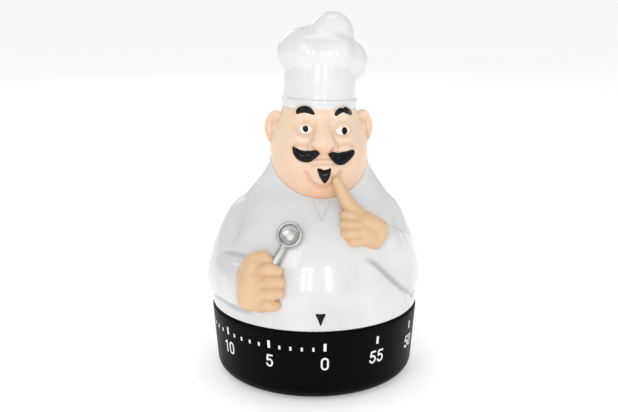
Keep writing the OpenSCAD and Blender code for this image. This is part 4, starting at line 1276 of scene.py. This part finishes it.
class TIMER_OT_stage(bpy.types.Operator):
    """Lays the pale floor, hangs the soft lights and sets the camera"""

    bl_idname = "timer.stage"
    bl_label = "Stage"

    def execute(self, context):
        scene = context.scene
        paint = Paint("floor_paper", Emission_Color=(1, 1, 1, 1), Emission_Strength=0.3)
        paint.set("Base Color", paint.mix(paint.noise(40, 2) * 0.3, colours("floor"), tone(246, 246, 246)))
        paint.set("Roughness", 0.85 + paint.noise(900, 2) * 0.1)
        x, y = np.meshgrid(np.linspace(-12, 12, 45), np.linspace(-12, 12, 45))
        mesh = bpy.data.meshes.new("floor")
        mesh.from_pydata(np.stack([x, y, 0 * x], -1).reshape(-1, 3).tolist(), [],
                         quads(45, 45, wrap_cols=False).tolist())
        floor = bpy.data.objects.new("floor", mesh)
        floor.data.materials.append(paint.material)
        scene.collection.objects.link(floor)

        world = bpy.data.worlds.new("studio")
        world.use_nodes = True
        backdrop = world.node_tree.nodes["Background"]
        backdrop.inputs["Color"].default_value = (1, 1, 1, 1)
        seen = world.node_tree.nodes.new("ShaderNodeLightPath")
        span = world.node_tree.nodes.new("ShaderNodeMapRange")
        span.inputs["To Min"].default_value = WORLD_LIGHT
        world.node_tree.links.new(seen.outputs["Is Camera Ray"], span.inputs["Value"])
        world.node_tree.links.new(span.outputs["Result"], backdrop.inputs["Strength"])
        scene.world = world
        scene.view_settings.view_transform = "Standard"

        lights = (
            ("key_window", (-0.42, -0.55, 0.60), (0.30, 0.40), 0.8),
            ("pane_top", (-0.137, -0.55, 0.32), (0.14, 0.045), 0.14),
            ("pane_low_left", (-0.175, -0.55, 0.185), (0.035, 0.17), 0.14),
            ("pane_low_right", (-0.10, -0.55, 0.185), (0.035, 0.17), 0.14),
            ("pane_right", (0.105, -0.55, 0.21), (0.055, 0.25), 0.3),
            ("fill_right", (0.75, -0.35, 0.40), (0.5, 0.5), 0.5),
            ("top", (0.0, 0.15, 0.95), (0.5, 0.4), 0.8),
            ("rear", (-0.3, 0.8, 0.45), (0.4, 0.4), 0.6),
        )
        aim = Vector((0, 0, 0.055))
        for name, place, size, power in lights:
            light = bpy.data.lights.new(name, "AREA")
            light.shape, light.size, light.size_y, light.energy = "RECTANGLE", size[0], size[1], power
            lamp = bpy.data.objects.new(name, light)
            turn = (aim - Vector(place)).to_track_quat("-Z", "Y").to_matrix().to_4x4()
            lamp.matrix_world = Matrix.Translation(place) @ turn
            lamp.visible_camera = False
            scene.collection.objects.link(lamp)

        level_reach = math.cos(CAMERA_EL)
        forward = Vector((-math.sin(CAMERA_AZ) * level_reach, math.cos(CAMERA_AZ) * level_reach,
                          -math.sin(CAMERA_EL)))
        camera = bpy.data.cameras.new("camera")
        camera.lens, camera.sensor_width = sizes().lens, 36.0
        camera.shift_x = CAMERA_SHIFT
        camera.clip_start, camera.clip_end = 0.01, 20.0
        stand = bpy.data.objects.new("camera", camera)
        stand.matrix_world = (Matrix.Translation(Vector((0, 0, AIM_Z * MM)) - forward * CAMERA_FAR * MM)
                              @ forward.to_track_quat("-Z", "Y").to_matrix().to_4x4())
        scene.collection.objects.link(stand)
        scene.camera = stand
        return {"FINISHED"}


STEPS = (TIMER_OT_base, TIMER_OT_pad, TIMER_OT_shirt, TIMER_OT_head, TIMER_OT_features, TIMER_OT_hat,
         TIMER_OT_hands, TIMER_OT_inside, TIMER_OT_stage)


class TIMER_PT_panel(bpy.types.Panel):
    """Lists the timer's sizes, colours and pieces"""

    bl_label = "Chef timer"
    bl_idname = "TIMER_PT_panel"
    bl_space_type = "VIEW_3D"
    bl_region_type = "UI"
    bl_category = "Timer"

    def draw(self, context):
        for group in (context.scene.timer_sizes, context.scene.timer_colours):
            for key in type(group).__annotations__:
                self.layout.prop(group, key)
        for step in STEPS:
            self.layout.operator(step.bl_idname)


CLASSES = (TimerSizes, TimerColours, *STEPS, TIMER_PT_panel)


def register():
    """Registers the classes and hangs the settings on the scene."""
    for cls in CLASSES:
        bpy.utils.register_class(cls)
    bpy.types.Scene.timer_sizes = bpy.props.PointerProperty(type=TimerSizes)
    bpy.types.Scene.timer_colours = bpy.props.PointerProperty(type=TimerColours)


def unregister():
    """Takes the settings and the classes away again."""
    del bpy.types.Scene.timer_sizes, bpy.types.Scene.timer_colours
    for cls in reversed(CLASSES):
        bpy.utils.unregister_class(cls)


def main():
    register()
    for step in STEPS:
        group, name = step.bl_idname.split(".")
        getattr(getattr(bpy.ops, group), name)()


if __name__ == "__main__":
    main()
